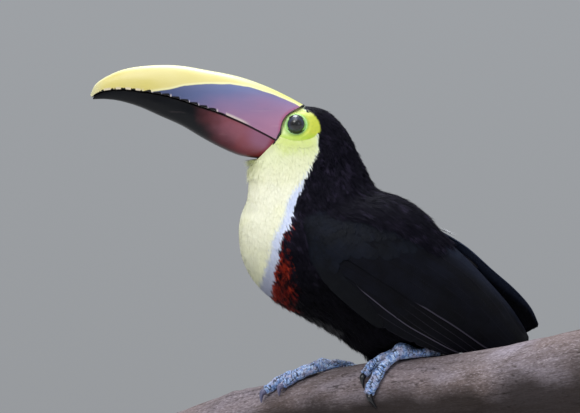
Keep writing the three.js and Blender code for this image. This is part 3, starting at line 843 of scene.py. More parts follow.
def thighSurface(side, along, turn, out=0.0):  # along 0 to 1 from the belly to the heel
    line = np.array(thigh[side] + [tuple(onPerch(feet[side]["heel"]))], float)
    middle = between(line, along * 3)
    way = unit(between(line, along * 3 + .02) - between(line, along * 3 - .02))
    front = np.array([-1, 0, 0])
    front = unit(front - way * way[..., :1] * -1)
    across = np.cross(way, front)
    reach = (between(thigh["radii"], along * 3) + out)[..., None]
    return middle + reach * (front * np.cos(turn)[..., None] + across * np.sin(turn)[..., None])


def throatDip(points):  # the coat lies flatter under the beard
    x, z = points[..., 0], points[..., 2]
    return 2.3 * smooth(270, 284, z) * smooth(312, 300, z) * smooth(12, 22, -90 - x)


def depthAt(place, points):
    table = np.array(coatDepth, float)
    depth = np.interp(place, table[:, 0], table[:, 1])
    found = markings(points)
    depth = mix(depth, np.minimum(depth, 1.1) + throatDip(points), smooth(-1, 3, found["bib"]))
    return mix(depth, .3, smooth(-4, 1, found["bare"]))


def eyeAway(points):
    return np.hypot(points[..., 0] - eye["x"], (points[..., 2] - eye["z"]) * lids["squash"])


def lidRelief(points):  # the socket, the rolled rim of the lids and the folds round them
    away = eyeAway(points)
    base = np.abs(points[..., 1])
    ball = eye["out"] + np.sqrt(np.clip(eye["radius"] ** 2 - away ** 2, 4, None))
    rim = ball + lids["rimRise"] * np.exp(-((away - lids["rim"]) / .75) ** 2)
    inside = smooth(lids["opening"] + .35, lids["opening"] - .35, away)
    rim = rim - 1.1 * inside
    share = smooth(lids["spread"], lids["rim"] + .3, away)
    waves = np.sin(away * 4.2 + 1.5 * noise3(points / 3, 2))
    folds = lids["fold"] * waves * smooth(15, 9, away) * smooth(7, 8.2, away)
    new = mix(base, rim, share) + folds
    near = (away < 16) & (base > 6)
    return np.where(near, new, base) * np.sign(points[..., 1])


def bodySkin():
    places = np.concatenate([np.linspace(0, .9, 8)[:-1], np.linspace(.9, 3.4, 84)[:-1],
                             np.linspace(3.4, 6, 34)[:-1], np.linspace(6, 16, 70)])
    # finer round the sides of the head, where the eyes are
    half = np.concatenate([np.linspace(0, .55, 8)[:-1], np.linspace(.55, 1.95, 52)[:-1],
                           np.linspace(1.95, math.pi, 16)])
    turns = np.concatenate([half, 2 * math.pi - half[-2:0:-1]])
    place, turn = grid(places, turns)
    outer = bodySurface(place, turn)
    points = bodySurface(place, turn, -depthAt(place, outer))
    face = smooth(-3, 2, markings(points)["bare"]) * (place > .8)
    points[..., 1] = mix(points[..., 1], lidRelief(points), smooth(17, 15, eyeAway(points)))
    crinkle = .16 * lumps(points, 2.2, 4) * face * smooth(7.5, 9, eyeAway(points))
    points[..., 1] += crinkle * np.sign(points[..., 1])
    return points


def armSlab(side):  # the folded arm inside the wing
    places, shares = np.linspace(.4, 6.5, 30), np.linspace(.06, .93, 18)
    place, share = grid(places, shares)
    thick = between(wing["thick"], place)
    outer = wingSurface(place, share, side, -np.full(place.shape, skinUnderneath["arm"]))
    inner = wingSurface(place, share, side, -np.maximum(thick + 1, skinUnderneath["armInside"]))
    return np.concatenate([outer, inner[:, ::-1]], 1)


def tailStub():
    along, turn = grid(np.linspace(-.14, .3, 12), roundIn(24))
    thick = between(tail["thick"], np.clip(along, 0, 1) * 7) / 2 - skinUnderneath["tail"]
    wide = between(tail["halfWidth"], np.clip(along, 0, 1) * 7) - skinUnderneath["tailEdge"]
    return tailSurface(along, np.sin(turn) * wide, np.cos(turn) * thick)


def joined(pieces):  # unites closed pieces into one closed surface
    whole = pieces[0]
    for other in pieces[1:]:
        cutter = whole.modifiers.new("unite", "BOOLEAN")
        cutter.operation = "UNION"
        cutter.solver = "MANIFOLD"
        cutter.object = other
        graph = bpy.context.evaluated_depsgraph_get()
        united = bpy.data.meshes.new_from_object(whole.evaluated_get(graph), depsgraph=graph)
        whole.modifiers.clear()
        old = whole.data
        whole.data = united
        bpy.data.meshes.remove(old)
        gone = other.data
        bpy.data.objects.remove(other)
        bpy.data.meshes.remove(gone)
    return whole


def outwards(points, faces):  # turns faces so that they look out
    quad = points.reshape(-1, 3)[faces]
    volume = (quad[:, 0] * np.cross(quad[:, 1] - quad[:, 0], quad[:, 2] - quad[:, 0])).sum()
    volume += (quad[:, 0] * np.cross(quad[:, 2] - quad[:, 0], quad[:, 3] - quad[:, 0])).sum()
    return faces if volume > 0 else faces[:, ::-1]


def skin():
    parts = [(bodySkin(), skinLook, 0)]
    for side in (left, right):
        along, turn = grid(np.linspace(.03, .985, 20), roundIn(28))
        inward = mix(skinUnderneath["thigh"], skinUnderneath["heel"], along)
        parts.append((thighSurface(side, along, turn, -inward), skinLook, 0))
        parts.append((armSlab(side), skinLook, 0))
    parts.append((tailStub(), skinLook, 0))
    for side in (left, right):
        parts += [(clearOfPerch(points, .35), legLook, crease) for points, crease in legTubes(side)]
    pieces = []
    for i, (points, look, crease) in enumerate(parts):
        faces = outwards(points, closedLoft(points))
        values = {"crease": np.zeros(points.shape[:2]) + crease}
        pieces.append(makePiece("toucan_skin" if i == 0 else f"skin_part_{i}", points, faces, look, values))
    pieces[0].data.materials.append(legLook)  # both slots are there before the first union
    piece = joined(pieces)
    mesh = piece.data
    co = np.zeros(len(mesh.vertices) * 3, np.float32)
    mesh.vertices.foreach_get("co", co)
    points = co.reshape(-1, 3).astype(float) / mm
    found = markings(points)
    keepValues(mesh, {**found, "eyeAway": eyeAway(points), "rear": points[:, 0] - eye["x"],
                      "under": eye["z"] - points[:, 2], "shade": np.full(len(points), .3),
                      "white": np.zeros(len(points))})
    mesh.polygons.foreach_set("use_smooth", np.ones(len(mesh.polygons), bool))
    nodes = ["head", "neck", "trunk", "rump"]
    for side in (left, right):
        name = sideName[side]
        nodes += [f"thigh_{name}", f"tarsus_{name}"] + [f"toe_{name}_{toe}" for toe in feet[side]["toes"]]
    finishPiece(piece, "leg_skin", *nodes)
    return piece


skinPiece = skin()
print("skin made:", len(skinPiece.data.polygons), "faces", [m.name for m in skinPiece.data.materials])


# the eyes

eyeLook = {"pupil": 3.4, "iris": 6.6, "irisInner": "#1C1610", "irisOuter": "#333B52", "rim": "#14161C",
           "front": .35, "wet": .35, "wetRoughness": .22}


def eyeball(side):
    fall, turn = grid(np.linspace(.02, math.pi - .02, 48), roundIn(64))
    radius = eye["radius"] + eyeLook["front"] * smooth(.75, .2, fall)  # the clear front stands out a little
    points = np.stack([eye["x"] + radius * np.sin(fall) * np.cos(turn),
                       side * (eye["out"] + radius * np.cos(fall)),
                       eye["z"] + radius * np.sin(fall) * np.sin(turn)], -1)
    look = Look("wetEye", .3)
    look.shader.inputs["Coat Weight"].default_value = eyeLook["wet"]
    look.shader.inputs["Coat Roughness"].default_value = eyeLook["wetRoughness"]
    away = look.value("eyeAway")
    streaks = look.noise(700, 3, (1, .2, 1))
    iris = look.over(eyeLook["irisInner"], eyeLook["irisOuter"], away, eyeLook["pupil"], eyeLook["iris"])
    iris = look.layers(iris, [
        ("#1B1712", streaks, .35, .7, 0, .5),
        ("#030304", away, eyeLook["pupil"] + .25, eyeLook["pupil"] - .25),
    ])
    look.paint(look.over(iris, eyeLook["rim"], away, eyeLook["iris"] - .2, eyeLook["iris"] + .5))
    faces = outwards(points, closedLoft(points))
    piece = makePiece(f"eyeball_{sideName[side]}", points, faces, look.material,
                      {"eyeAway": eyeAway(points)})
    finishPiece(piece, "eye", f"eye_{sideName[side]}")


for side in (left, right):
    eyeball(side)
print("eyes made")


# the bill

horn = {
    "rings": 330, "sides": 26,
    "toothPitch": 7.9, "toothDepth": 1.15, "teethFrom": -206, "teethTo": -136,
    # x, and height of the line under the yellow stripe
    "stripe": [(-251, 366), (-238, 368), (-222, 371), (-199.8, 372.7), (-182.8, 375), (-170, 378),
               (-153, 379.6), (-131.8, 379.5), (-114.8, 377), (-97.8, 371.9), (-85, 366.8), (-75.7, 362.5),
               (-66, 357)],
}


def teeth(x):  # 1 at a tooth, less in the notch that deepens from each tooth back to the next
    slip = .8 * noise3(np.stack([np.floor(x / horn["toothPitch"]), 0 * x, 0 * x], -1), 5)
    phase = ((x + .5 * slip) / horn["toothPitch"]) % 1
    rise = (.3 + .7 * phase) * smooth(0, .1, phase) * smooth(1, .86, phase) * (.9 + .12 * slip)
    strength = smooth(horn["teethFrom"] - 4, horn["teethFrom"] + 6,
                      x) * smooth(horn["teethTo"] + 8, horn["teethTo"] - 12, x)
    waves = np.sin(x * .7) + .6 * np.sin(x * 2.3)
    ragged = .6 * smooth(.1, .5, waves) * smooth(-246, -240, x) * (1 - strength)
    return 1 - rise * strength - ragged * (x < horn["teethFrom"])


def billPiece(name, look):
    half = bill[name]
    ends = len(half["width"]) - 1
    rings, sides = horn["rings"], horn["sides"]
    spread = np.sin(np.linspace(0, 1, sides + 1) * math.pi / 2)  # closer together at the cutting edge
    share = np.concatenate([-spread[:0:-1], spread])
    place, side = grid(np.linspace(0, ends, rings), share)
    points = billSurface(half, place, side)
    edge = 1 - np.abs(side)
    upper = name == "upper"
    points[..., 2] += upper * horn["toothDepth"] * (1 - teeth(points[..., 0])) * np.exp(-(edge / .05) ** 2)
    normal = np.sign(side) * smooth(0, .3, np.abs(side))
    swell = .12 * lumps(points * [.35, 1, 1], 9, 11)
    points[..., 1] += normal * (swell + .5 * np.exp(-place / .12) - .35 * np.exp(-place / .05))
    vault = 2.6 if upper else 1.7  # how high the inside stands over the cutting edges
    inner = [mix(points[:, -1], points[:, 0], s) + np.array([0, 0, vault * math.sin(math.pi * s) ** .6])
             for s in (.12, .3, .5, .7, .88)]
    whole = np.concatenate([points, np.stack(inner, 1)], 1)
    x, z = whole[..., 0], whole[..., 2]
    stripe = np.interp(x, *np.array(horn["stripe"]).T)
    start = np.linspace(0, ends, rings)[:, None] + 0 * x
    tomium = np.zeros(x.shape)  # millimetres from the cutting edge, on the outside
    tomium[:, :points.shape[1]] = edge * between(half["width"], place) * 1.2
    values = {"stripe": z - stripe, "toRear": x, "edge": tomium, "tooth": teeth(x) * (tomium < 3),
              "base": start, "low": np.concatenate([np.abs(side), np.ones((rings, 5))], 1)}
    faces = outwards(whole, closedLoft(whole))
    piece = makePiece(f"bill_{name}_horn", whole, faces, look, values)
    finishPiece(piece, f"horn_{name}", f"bill_{name}")


def hornFinish(look, result, scale, scratched, blotch, *gloss):  # fine scratches, gloss and growth lines
    scratch = look.fit(look.noise(scale, 2, (.05, 1, 1)), .66, .74, 0, .06)
    look.paint(look.blend(scratch, result, scratched))
    look.rough(look.fit(blotch, .2, .8, *gloss))
    look.relief(look.add(look.noise(120, 4, (.3, 1, 1)), look.noise(900, 2, (.1, 1, 1))), .12, .5)
    return look.material


def upperHorn():
    look = Look("upperHorn", .36, specular=.35)
    x = look.value("toRear")
    blotch = look.noise(38, 3, (.5, 1, 1))
    yellow = look.layers("#D6C873", [
        ("#DDD08A", blotch, .35, .7),
        ("#D4D0A8", x, -236, -252),
    ])
    # painted highlight: the yellow paler along the top of the ridge
    ridge = look.fit("low", .4, .12)
    yellow = look.blend(look.times(ridge, .6), yellow, "#F0EDC8")
    yellow = look.over(yellow, "#DADF4E", x, -130, -80, 0, .6)
    lean = look.add(x, look.times(look.less("low", .6), 95))
    lean = look.add(lean, look.times(look.less(look.noise(48, 3, (.5, 1, 1)), .5), 30))
    side = look.layers("#465073", [
        ("#646E98", x, -205, -125),
        ("#A87894", lean, -142, -68),
        ("#A8486C", "base", .22, .02, 0, .6),
        ("#5A5F86", look.noise(75, 4, (.3, 1, 1)), .45, .75, 0, .3),
    ])
    edge = look.fit(look.add("stripe", look.times(look.noise(90, 2), .8)), .2, 1.1)
    brim = look.times(look.fit("stripe", 3, .9), look.fit(x, -215, -190, 0, .55))
    result = look.blend(edge, side, look.blend(brim, yellow, "#F3F0C0"))
    tips = look.times(look.fit("edge", 1.3, .5), look.fit("tooth", .75, .95))
    inTeeth = look.times(look.fit(x, -246, -236), look.fit(x, -112, -122))
    result = look.blend(look.times(look.times(tips, inTeeth), .7), result, "#DDD0C4")
    # painted shade: the notches between the teeth near-black
    notch = look.times(look.less(1, "tooth"), 1.25)
    slot = look.fit(look.less("edge", notch), .1, -.25)
    slot = look.times(slot, look.fit("tooth", .95, .8))
    result = look.blend(slot, result, "#09090C")
    # painted shade: a dark line along the cutting edge, where the two halves of the bill meet
    result = look.over(result, "#130C10", "edge", .3, .1)
    return hornFinish(look, result, 300, "#F2ECE4", blotch, .26, .42)


def lowerHorn():
    look = Look("lowerHorn", .4, specular=.18)
    x = look.value("toRear")
    keel = look.value("low")  # 0 along the keel, 1 at the cutting edge
    red = look.layers("#5E1620", [
        ("#88525E", keel, .2, .75),
        ("#7A302C", look.noise(50, 3, (.6, 1, 1)), .38, .7, 0, .6),
    ])
    red = look.blend(look.times(look.fit(x, -124, -108), look.fit(keel, .45, .8)), red, "#8C5C72")
    red = look.over(red, "#7A1722", "base", .62, .3, 0, .8)
    dark = look.blend(look.noise(60, 4, (.4, 1, 1)), "#050609", "#0D0F15")
    reach = look.add(x, look.times(look.less(look.noise(45, 3), .5), 34))
    reach = look.add(reach, look.times(keel, 14))
    result = look.layers(dark, [
        (red, reach, -156, -108),
        ("#0E090D", keel, .34, .08, 0, .8),
    ])
    # painted shade: a dark line along the cutting edge, where the two halves of the bill meet
    result = look.blend(look.times(look.fit("edge", .5, .1), .7), result, "#0A080B")
    return hornFinish(look, result, 280, "#8A7A7C", look.noise(38, 3), .28, .46)


rimPlace = {"upper": .03, "lower": .24}  # stations of the bill at which its bare base meets the feathers
rim = {"upperSteps": 60, "lowerSteps": 40, "sides": 12, "easings": 3}


def billRim():  # the soft black edge round the bill's base
    line = []
    for share in np.linspace(0, 1, rim["upperSteps"]):
        sunk = mix(-.7, .2, smooth(0, .25, share))
        at = billSurface(bill["upper"], np.array(rimPlace["upper"] + .16 * smooth(.85, 1, share)),
                         np.array(share), sunk)
        line.append((at, mix(1, .36, smooth(.1, .34, share)) + .75 * smooth(.8, .95, share)))
    for share in np.linspace(1, .04, rim["lowerSteps"]):
        at = billSurface(bill["lower"], np.array(rimPlace["lower"]), np.array(share), .35)
        line.append((at, mix(.3, 1.25, smooth(.68, .82, share))))
    middle, radius = np.array([a for a, _ in line]), np.array([b for _, b in line])
    for _ in range(rim["easings"]):  # eases the corner at the gape
        middle[1:-1] = (middle[:-2] + 2 * middle[1:-1] + middle[2:]) / 4
    looped = np.concatenate([middle, (middle * [1, -1, 1])[-2:0:-1]])
    radius = np.concatenate([radius, radius[-2:0:-1]])
    radius = radius * (1 + .16 * noise3(looped / 3.5, 21))
    along = unit(np.roll(looped, -1, 0) - np.roll(looped, 1, 0))
    rear = np.array([1, 0, -.45])
    rear = unit(rear - along * (along @ rear)[:, None])
    across = np.cross(along, rear)
    turn = roundIn(rim["sides"])
    points = (looped[:, None] + rear[:, None] * .5 + (rear[:, None] * np.cos(turn)[None, :, None]
              + across[:, None] * np.sin(turn)[None, :, None]) * radius[:, None, None])
    rows = len(points)
    faces = gridFaces(rows + 1, rim["sides"], wrap=True) % (rows * rim["sides"])
    look = Look("rimSkin", .45)
    look.paint(look.blend(look.noise(200, 3), "#0B0A0D", "#221B22"))
    look.relief(look.noise(600, 3), .2, .8)
    finishPiece(makePiece("bill_rim", points, faces, look.material), "plumage")


billPiece("upper", upperHorn())
billPiece("lower", lowerHorn())
billRim()
print("bill made")


# tufts and vanes over the skin

shapes = {
    # place along and across of each point, then the faces
    "plume": ([(0, -.45), (0, .45), (.4, -1), (.4, 0), (.4, 1), (.74, -.86), (.76, -.43), (.78, 0),
               (.76, .43), (.74, .86), (.96, -.66), (1, -.2), (1.03, .24), (.95, .62)],
              [[(0, 1, 4, 3, 2), (2, 3, 7, 6, 5), (3, 4, 9, 8, 7)],
               [(5, 6, 10), (6, 7, 11), (7, 8, 12), (8, 9, 13)]]),
    "hair": ([(0, -.62), (0, -.3), (.5, -.92), (.5, -.66), (.92, -1.1), (0, -.3), (0, 0), (.55, -.36),
              (.55, -.1), (1.05, -.3), (0, 0), (0, .3), (.5, .12), (.5, .38), (.96, .36), (0, .3), (0, .62),
              (.55, .66), (.55, .92), (1, 1.05)],
             [[(0, 1, 3, 2), (5, 6, 8, 7), (10, 11, 13, 12), (15, 16, 18, 17)],
              [(2, 3, 4), (7, 8, 9), (12, 13, 14), (17, 18, 19)]]),
}
shapes["lash"] = ([(0, -.7), (0, .7), (.45, -1), (.45, 1), (.8, -.85), (.8, -.3), (.82, .3), (.8, .85),
                   (.97, -.6), (1.04, 0), (.98, .6)],
                  [[(0, 1, 3, 2)], [(2, 5, 4), (2, 3, 5), (3, 6, 5), (3, 7, 6)],
                   [(4, 5, 8), (5, 6, 9), (6, 7, 10)]])
unwraps = {  # window of each surface on the bake map: left, bottom, width, height
    "body": (.01, .01, .6, .98), "wing-1": (.63, .01, .35, .22), "wing1": (.63, .25, .35, .22),
    "thigh-1": (.63, .49, .16, .2), "thigh1": (.81, .49, .16, .2), "tail": (.63, .71, .35, .27),
}
vanes = {
    "clump": 11,  # size of the clumps that lean together
    "swirl": (.6, 1.3),  # how much each vane and each clump leans
    "fray": 3.2, "under": 2.6,  # how ragged the red band's edge is, and how far it starts inside
    "offLegs": 6.8,  # room round the bare legs
}
random = np.random.default_rng(20)


def rowsOn(surface, start, end, first, last, along, across):  # staggered rows of roots, in millimetres
    us, vs, u = [], [], start
    while u < end:
        v = np.linspace(first, last, 60)
        at = surface(np.full(60, u), v)
        ahead = surface(np.full(60, u + .01), v)
        count = max(int(np.linalg.norm(np.diff(at, axis=0), axis=1).sum() / across), 3)
        spot = (np.arange(count) + random.random() + random.uniform(-.35, .35, count)) / count % 1
        us.append(u + np.zeros(count))
        vs.append(first + (last - first) * spot)
        step = np.linalg.norm(ahead - at, axis=1).mean() / .01
        u += along / step
        us[-1] = us[-1] + random.uniform(-.5, .5, count) * along / step
    return np.concatenate(us), np.concatenate(vs)


def footPoints():  # places along the bare legs that feathers keep off
    rows = []
    for side in (left, right):
        foot = feet[side]
        heel, knuckle = onPerch(foot["heel"]), onPerch(foot["knuckle"])
        rows.append(heel + (knuckle - heel) * np.linspace(.3, 1, 14)[:, None])
        for path, _, _ in foot["toes"].values():
            rows.append(between([onPerch(p) for p in path], np.linspace(0, 3, 16)))
    return np.concatenate(rows)


bareLegs = footPoints()


def byHeight(amount, at):  # a number, or a table of heights and amounts
    if not isinstance(amount, list):
        return np.full((len(at), 1), float(amount))
    heights, amounts = np.array(amount, float).T
    return np.interp(at[:, 2], heights, amounts)[:, None]


def layVanes(surface, u, v, style, window, keep=None):
    if keep is not None:
        wanted = keep(surface(u, v), u, v)
        u, v = u[wanted], v[wanted]
    count = len(u)
    template, faces = shapes[style["shape"]]
    s, t = np.array(template).T
    step = 1e-3
    at = surface(u, v)
    uWay = (surface(u + step, v) - surface(u - step, v)) / (2 * step)
    vWay = (surface(u, v + step) - surface(u, v - step)) / (2 * step)
    normal = unit(np.cross(uWay, vWay))
    normal = normal * np.sign((normal * (surface(u, v, 1.0) - at)).sum(-1, keepdims=True))
    ahead = unit(uWay)
    alone, together = vanes["swirl"]
    clumps = together * noise3(at / vanes["clump"], 31)
    swirl = style["wander"] * (random.normal(size=count) * alone + clumps)
    ahead = ahead * np.cos(swirl)[:, None] + np.cross(normal, ahead) * np.sin(swirl)[:, None]
    ahead = ahead + np.array(style.get("pull", (0, 0, 0)))
    ahead = unit(ahead - normal * (ahead * normal).sum(-1, keepdims=True))
    aside = np.cross(normal, ahead)
    e, f, g = (uWay * uWay).sum(-1), (uWay * vWay).sum(-1), (vWay * vWay).sum(-1)
    whole = np.maximum(e * g - f * f, 1e-9)

    def solve(way):
        p, q = (way * uWay).sum(-1), (way * vWay).sum(-1)
        return ((g * p - f * q) / whole)[:, None], ((e * q - f * p) / whole)[:, None]
    size = random.uniform(.8, 1.2, count)[:, None]
    length = byHeight(style["length"], at) * size * random.uniform(.88, 1.12, count)[:, None]
    width = style["width"] / 2 * size
    rootOut, tipOut = byHeight(style["rootOut"], at), byHeight(style["tipOut"], at)
    rootOut, tipOut = (reach - throatDip(at)[:, None] * style.get("dips", 0) for reach in (rootOut, tipOut))
    far = s * (1 + (s > .85) * random.uniform(-.14, .1, (count, len(s))))
    wide = t * (1 + (s > .3) * random.uniform(-.12, .12, (count, len(s))))
    (alongU, alongV), (asideU, asideV) = solve(ahead), solve(aside)
    uu = u[:, None] + far * length * alongU + wide * width * asideU
    vv = v[:, None] + far * length * alongV + wide * width * asideV
    roll = random.normal(size=count)[:, None] * style["roll"]
    out = (mix(rootOut, tipOut, far ** .8) + roll * wide * width
           + style.get("camber", .22) * width * (1 - wide ** 2) * (s > .2)
           + style.get("lift", .3) * random.uniform(-.5, 1, count)[:, None] * far ** 2)
    points = clearOfPerch(surface(uu, vv, out), .4)
    astray = np.linalg.norm(points - at[:, None], axis=-1).max(1) > 1.35 * length[:, 0] + width[:, 0] + 3
    for i in np.flatnonzero(points[..., 2].min(1) < 178):
        away = points[i][:, None] - bareLegs
        near = np.linalg.norm(away * [1, .62, 1], axis=-1).min() < vanes["offLegs"]
        astray[i] |= near & (abs(away[..., 1]).min() < 12)
    at, ahead, length, far, points, u, v = (data[~astray] for data in (at, ahead, length, far, points, u, v))
    count = len(u)
    if "reach" in style:  # tips that stand away, most along the middle
        reach = byHeight(style["reach"], at) * np.exp(-(at[:, 1:2] / style["ridge"]) ** 2)
        reach = reach * random.uniform(.65, 1.1, (count, 1))
        points = points + (far ** 1.3 * reach)[..., None] * np.array(style["towards"])
    found = markings(at + ahead * length * .5, vanes["fray"] * random.normal(size=count) - vanes["under"])
    shade = np.clip(random.random(count) * .75 + .25 * noise3(at / 7, 41), 0, 1)
    keepEach = np.ones((1, len(s)))
    values = {name: found[name][:, None] * keepEach for name in ("bib", "pale", "red", "bare")}
    values["shade"] = shade[:, None] * keepEach
    values["white"] = style.get("white", 0) * np.ones((count, len(s)))
    if style.get("red"):
        values["red"] = np.full((count, len(s)), 5.0)
    values["along"] = np.ones((count, 1)) * s
    shares = [np.clip((place - low) / (high - low), 0, 1)[:, None]
              for place, (low, high) in zip((u, v), style["range"])]
    patch = np.stack([window[0] + window[2] * shares[0] + (s - .5) * .003,
                      window[1] + window[3] * shares[1] + t * .0015], -1)
    first = (np.arange(count) * len(s))[:, None, None]
    blocks = [(np.array(block)[None] + first).reshape(-1, len(block[0])) for block in faces]
    return points, blocks, values, patch


def joinVanes(name, sets, slot="plumage", material=None, nodes=()):
    points, values, patches, blocks, first = [], {}, [], [], 0
    for spots, faces, kept, patch in sets:
        points.append(spots.reshape(-1, 3))
        patches.append(patch.reshape(-1, 2))
        blocks += [block + first for block in faces]
        for key, data in kept.items():
            values.setdefault(key, []).append(np.broadcast_to(data, spots.shape[:-1]).reshape(-1))
        first += len(points[-1])
    values = {key: np.concatenate(data) for key, data in values.items()}
    piece = makePiece(name, np.concatenate(points), blocks, material or plumageLook, values,
                      np.concatenate(patches))
    triangles = sum(len(block) * (block.shape[1] - 2) for block in blocks)
    print(f"{name}: {triangles} triangles")
    finishPiece(piece, slot, *nodes)


def billEdge():  # where the bill's bare base meets the feathers, from the chin up
    lower = billSurface(bill["lower"], np.full(20, rimPlace["lower"]), np.linspace(.1, 1, 20))
    upper = billSurface(bill["upper"], np.full(30, rimPlace["upper"]), np.linspace(1, 0, 30))
    return np.concatenate([[(-140, 0, lower[0, 2] - 1.5)], lower, upper[1:]])


edgeOfBill = billEdge()


def behindBill(points):  # clear of the horn round the face
    return points[:, 0] > np.interp(points[:, 2], edgeOfBill[:, 2], edgeOfBill[:, 0]) + .5


def underWing(points):  # places that the folded wings hide
    side = np.where(points[:, 1] < 0, left, right)
    hidden = np.zeros(len(points), bool)
    for one in (left, right):
        place, share = wingPlace(points[:, [0, 2]], one)
        covered = (place > 1.1) & (place < 9) & (share > .16) & (share < .86)
        cover = wingSurface(np.clip(place, 0, 10), np.clip(share, 0, 1), one)
        hidden |= (side == one) & covered & (np.abs(points[:, 1]) > .45 * np.abs(cover[:, 1]))
    return hidden


bodyRange = ((0, 16), (0, 2 * math.pi))
wholeTurn = (0, 2 * math.pi)
bodyCoats = {
    "face": {"shape": "lash", "length": 3.2, "width": .95, "rootOut": -.32, "tipOut": -.14, "wander": .12,
             "roll": .06, "lift": .06, "camber": .06, "spacing": (.95, .62), "places": (.9, 5)},
    "bib": {"shape": "lash", "length": 8.5, "width": 1.15, "rootOut": -.9, "tipOut": -.1, "wander": .13,
            "roll": .1, "lift": .3, "camber": .08, "spacing": (1.6, .82), "places": (1.3, 12.6), "dips": 1},
    # heights and amounts: the beard stands out most under the bill
    "chin": {"shape": "hair", "length": [(303, 9), (311, 7), (314, 5), (317, 3.4)], "width": 2.1,
             "rootOut": -.8, "tipOut": -.2, "ridge": 11, "towards": (-1, 0, .08),
             "reach": [(303, 0), (307, 1), (311, 3.6), (314, 7.2), (316.5, 13)],
             "wander": .16, "roll": .3, "lift": .8, "pull": (-.1, 0, -.2), "spacing": (1, .9),
             "places": (1, 2.8)},
    "crown": {"shape": "hair", "length": 5, "width": 2.2, "rootOut": -1.5, "tipOut": -.5, "wander": .26,
              "roll": .4, "lift": .5, "spacing": (1.4, 1.05), "places": (.95, 5.6)},
    "nape": {"shape": "hair", "length": 7.6, "width": 2.8, "rootOut": -2.2, "tipOut": -.2, "wander": .26,
             "roll": .45, "lift": .9, "spacing": (1.9, 1.4), "places": (5.2, 9.3)},
    "mantle": {"shape": "hair", "length": 12, "width": 3.4, "rootOut": -3.2, "tipOut": -.1, "wander": .2,
               "roll": .4, "lift": .8, "spacing": (2.3, 1.8), "places": (9, 14.6)},
    "breast": {"shape": "hair", "length": 9.5, "width": 3.2, "rootOut": -3.2, "tipOut": 0, "wander": .3,
               "roll": .5, "lift": 1.6, "spacing": (2.1, 1.7), "places": (7.6, 13)},
    "belly": {"shape": "hair", "length": 13, "width": 4.2, "rootOut": -4, "tipOut": .2, "wander": .26,
              "roll": .5, "lift": 1.8, "spacing": (2.5, 2), "places": (12.4, 16)},
    "rump": {"shape": "plume", "length": 11, "width": 4, "rootOut": -2.4, "tipOut": .6, "wander": .2,
             "roll": .3, "lift": 1.6, "spacing": (3, 2.2), "places": (14.4, 15.8), "white": 1},
    "wisp": {"shape": "hair", "length": 12, "width": 3, "rootOut": -2, "tipOut": 1.6, "wander": .3,
             "roll": .5, "lift": 3, "spacing": (3.4, 2.6), "places": (12.1, 12.9), "white": .05},
    "spur": {"shape": "hair", "length": 5.5, "width": 2.2, "rootOut": 1.5, "tipOut": 2.5, "wander": .1,
             "roll": .2, "lift": .3, "reach": 8, "ridge": 12, "towards": (1, 0, -.15),
             "spacing": (1.6, 1.4), "places": (8.6, 11.5), "white": .85},
    "under": {"shape": "plume", "length": 11, "width": 5, "rootOut": -4.6, "tipOut": -1.6, "wander": .2,
              "roll": .3, "spacing": (3.2, 2.8), "places": (6, 16)},
}
for style in bodyCoats.values():
    style["range"] = bodyRange


def bodyVanes(name, keep):
    style = bodyCoats[name]
    (start, end), (along, across) = style["places"], style["spacing"]
    u, v = rowsOn(bodySurface, start, end, *wholeTurn, along, across)
    return layVanes(bodySurface, u, v, style, unwraps["body"],
                    lambda p, u, v: keep(p, u, v, markings(p)) & behindBill(p) & ~underWing(p))


def isTop(v):
    return np.cos(v) > -.1


joinVanes("coat_face", [
    bodyVanes("face", lambda p, u, v, m: (m["bare"] < 1.2) & (m["bare"] > -6.5) & (m["bib"] > 0)),
])
joinVanes("coat_bib", [
    bodyVanes("bib", lambda p, u, v, m: (m["bare"] < -3) & (m["bib"] > -.2)),
    bodyVanes("chin", lambda p, u, v, m: (m["bib"] > 8) & (np.cos(v) < -.5) & (abs(p[:, 2] - 308.5) < 7.8)),
])
joinVanes("coat_crown", [
    bodyVanes("crown", lambda p, u, v, m: (m["bib"] < .4) & (m["bare"] < .6)),
])
joinVanes("coat_nape", [
    bodyVanes("nape", lambda p, u, v, m: (m["bib"] < .6)),
    bodyVanes("under", lambda p, u, v, m: (m["bib"] < -1) & (u < 9.5)),
])
joinVanes("coat_mantle", [
    bodyVanes("mantle", lambda p, u, v, m: (m["bib"] < 0) & isTop(v)),
    bodyVanes("rump", lambda p, u, v, m: np.cos(v) > .87),
    bodyVanes("spur", lambda p, u, v, m: (abs(p[:, 1]) < 1.6) & (abs(p[:, 0] - 46.5) < 1.2)
              & (np.cos(v) > 0)),
    bodyVanes("under", lambda p, u, v, m: (m["bib"] < -1) & (u >= 9.5) & isTop(v)),
])
joinVanes("coat_breast", [
    bodyVanes("breast", lambda p, u, v, m: (m["bib"] < .3) & ~isTop(v)),
])
joinVanes("coat_belly", [
    bodyVanes("belly", lambda p, u, v, m: (m["bib"] < 0) & ~isTop(v)),
    bodyVanes("wisp", lambda p, u, v, m: np.abs(v - 3.4) < .2),
    bodyVanes("under", lambda p, u, v, m: (m["bib"] < -1) & (u >= 9.5) & ~isTop(v)),
])


def thighCoat():
    sets = []
    for side in (left, right):
        def surface(u, v, out=0.0):
            return thighSurface(side, u, v, out)
        style = {"shape": "hair", "length": 10, "width": 3.4, "rootOut": -3, "tipOut": .1, "wander": .25,
                 "roll": .5, "lift": 1.2, "pull": (.1, 0, -.2), "range": ((0, 1), (0, 2 * math.pi))}
        u, v = rowsOn(surface, .02, .9, *wholeTurn, 2.1, 1.8)
        sets.append(layVanes(surface, u, v, style, unwraps[f"thigh{side}"]))
    joinVanes("coat_thighs", sets)


thighCoat()
print("body feathers laid")


# the wings

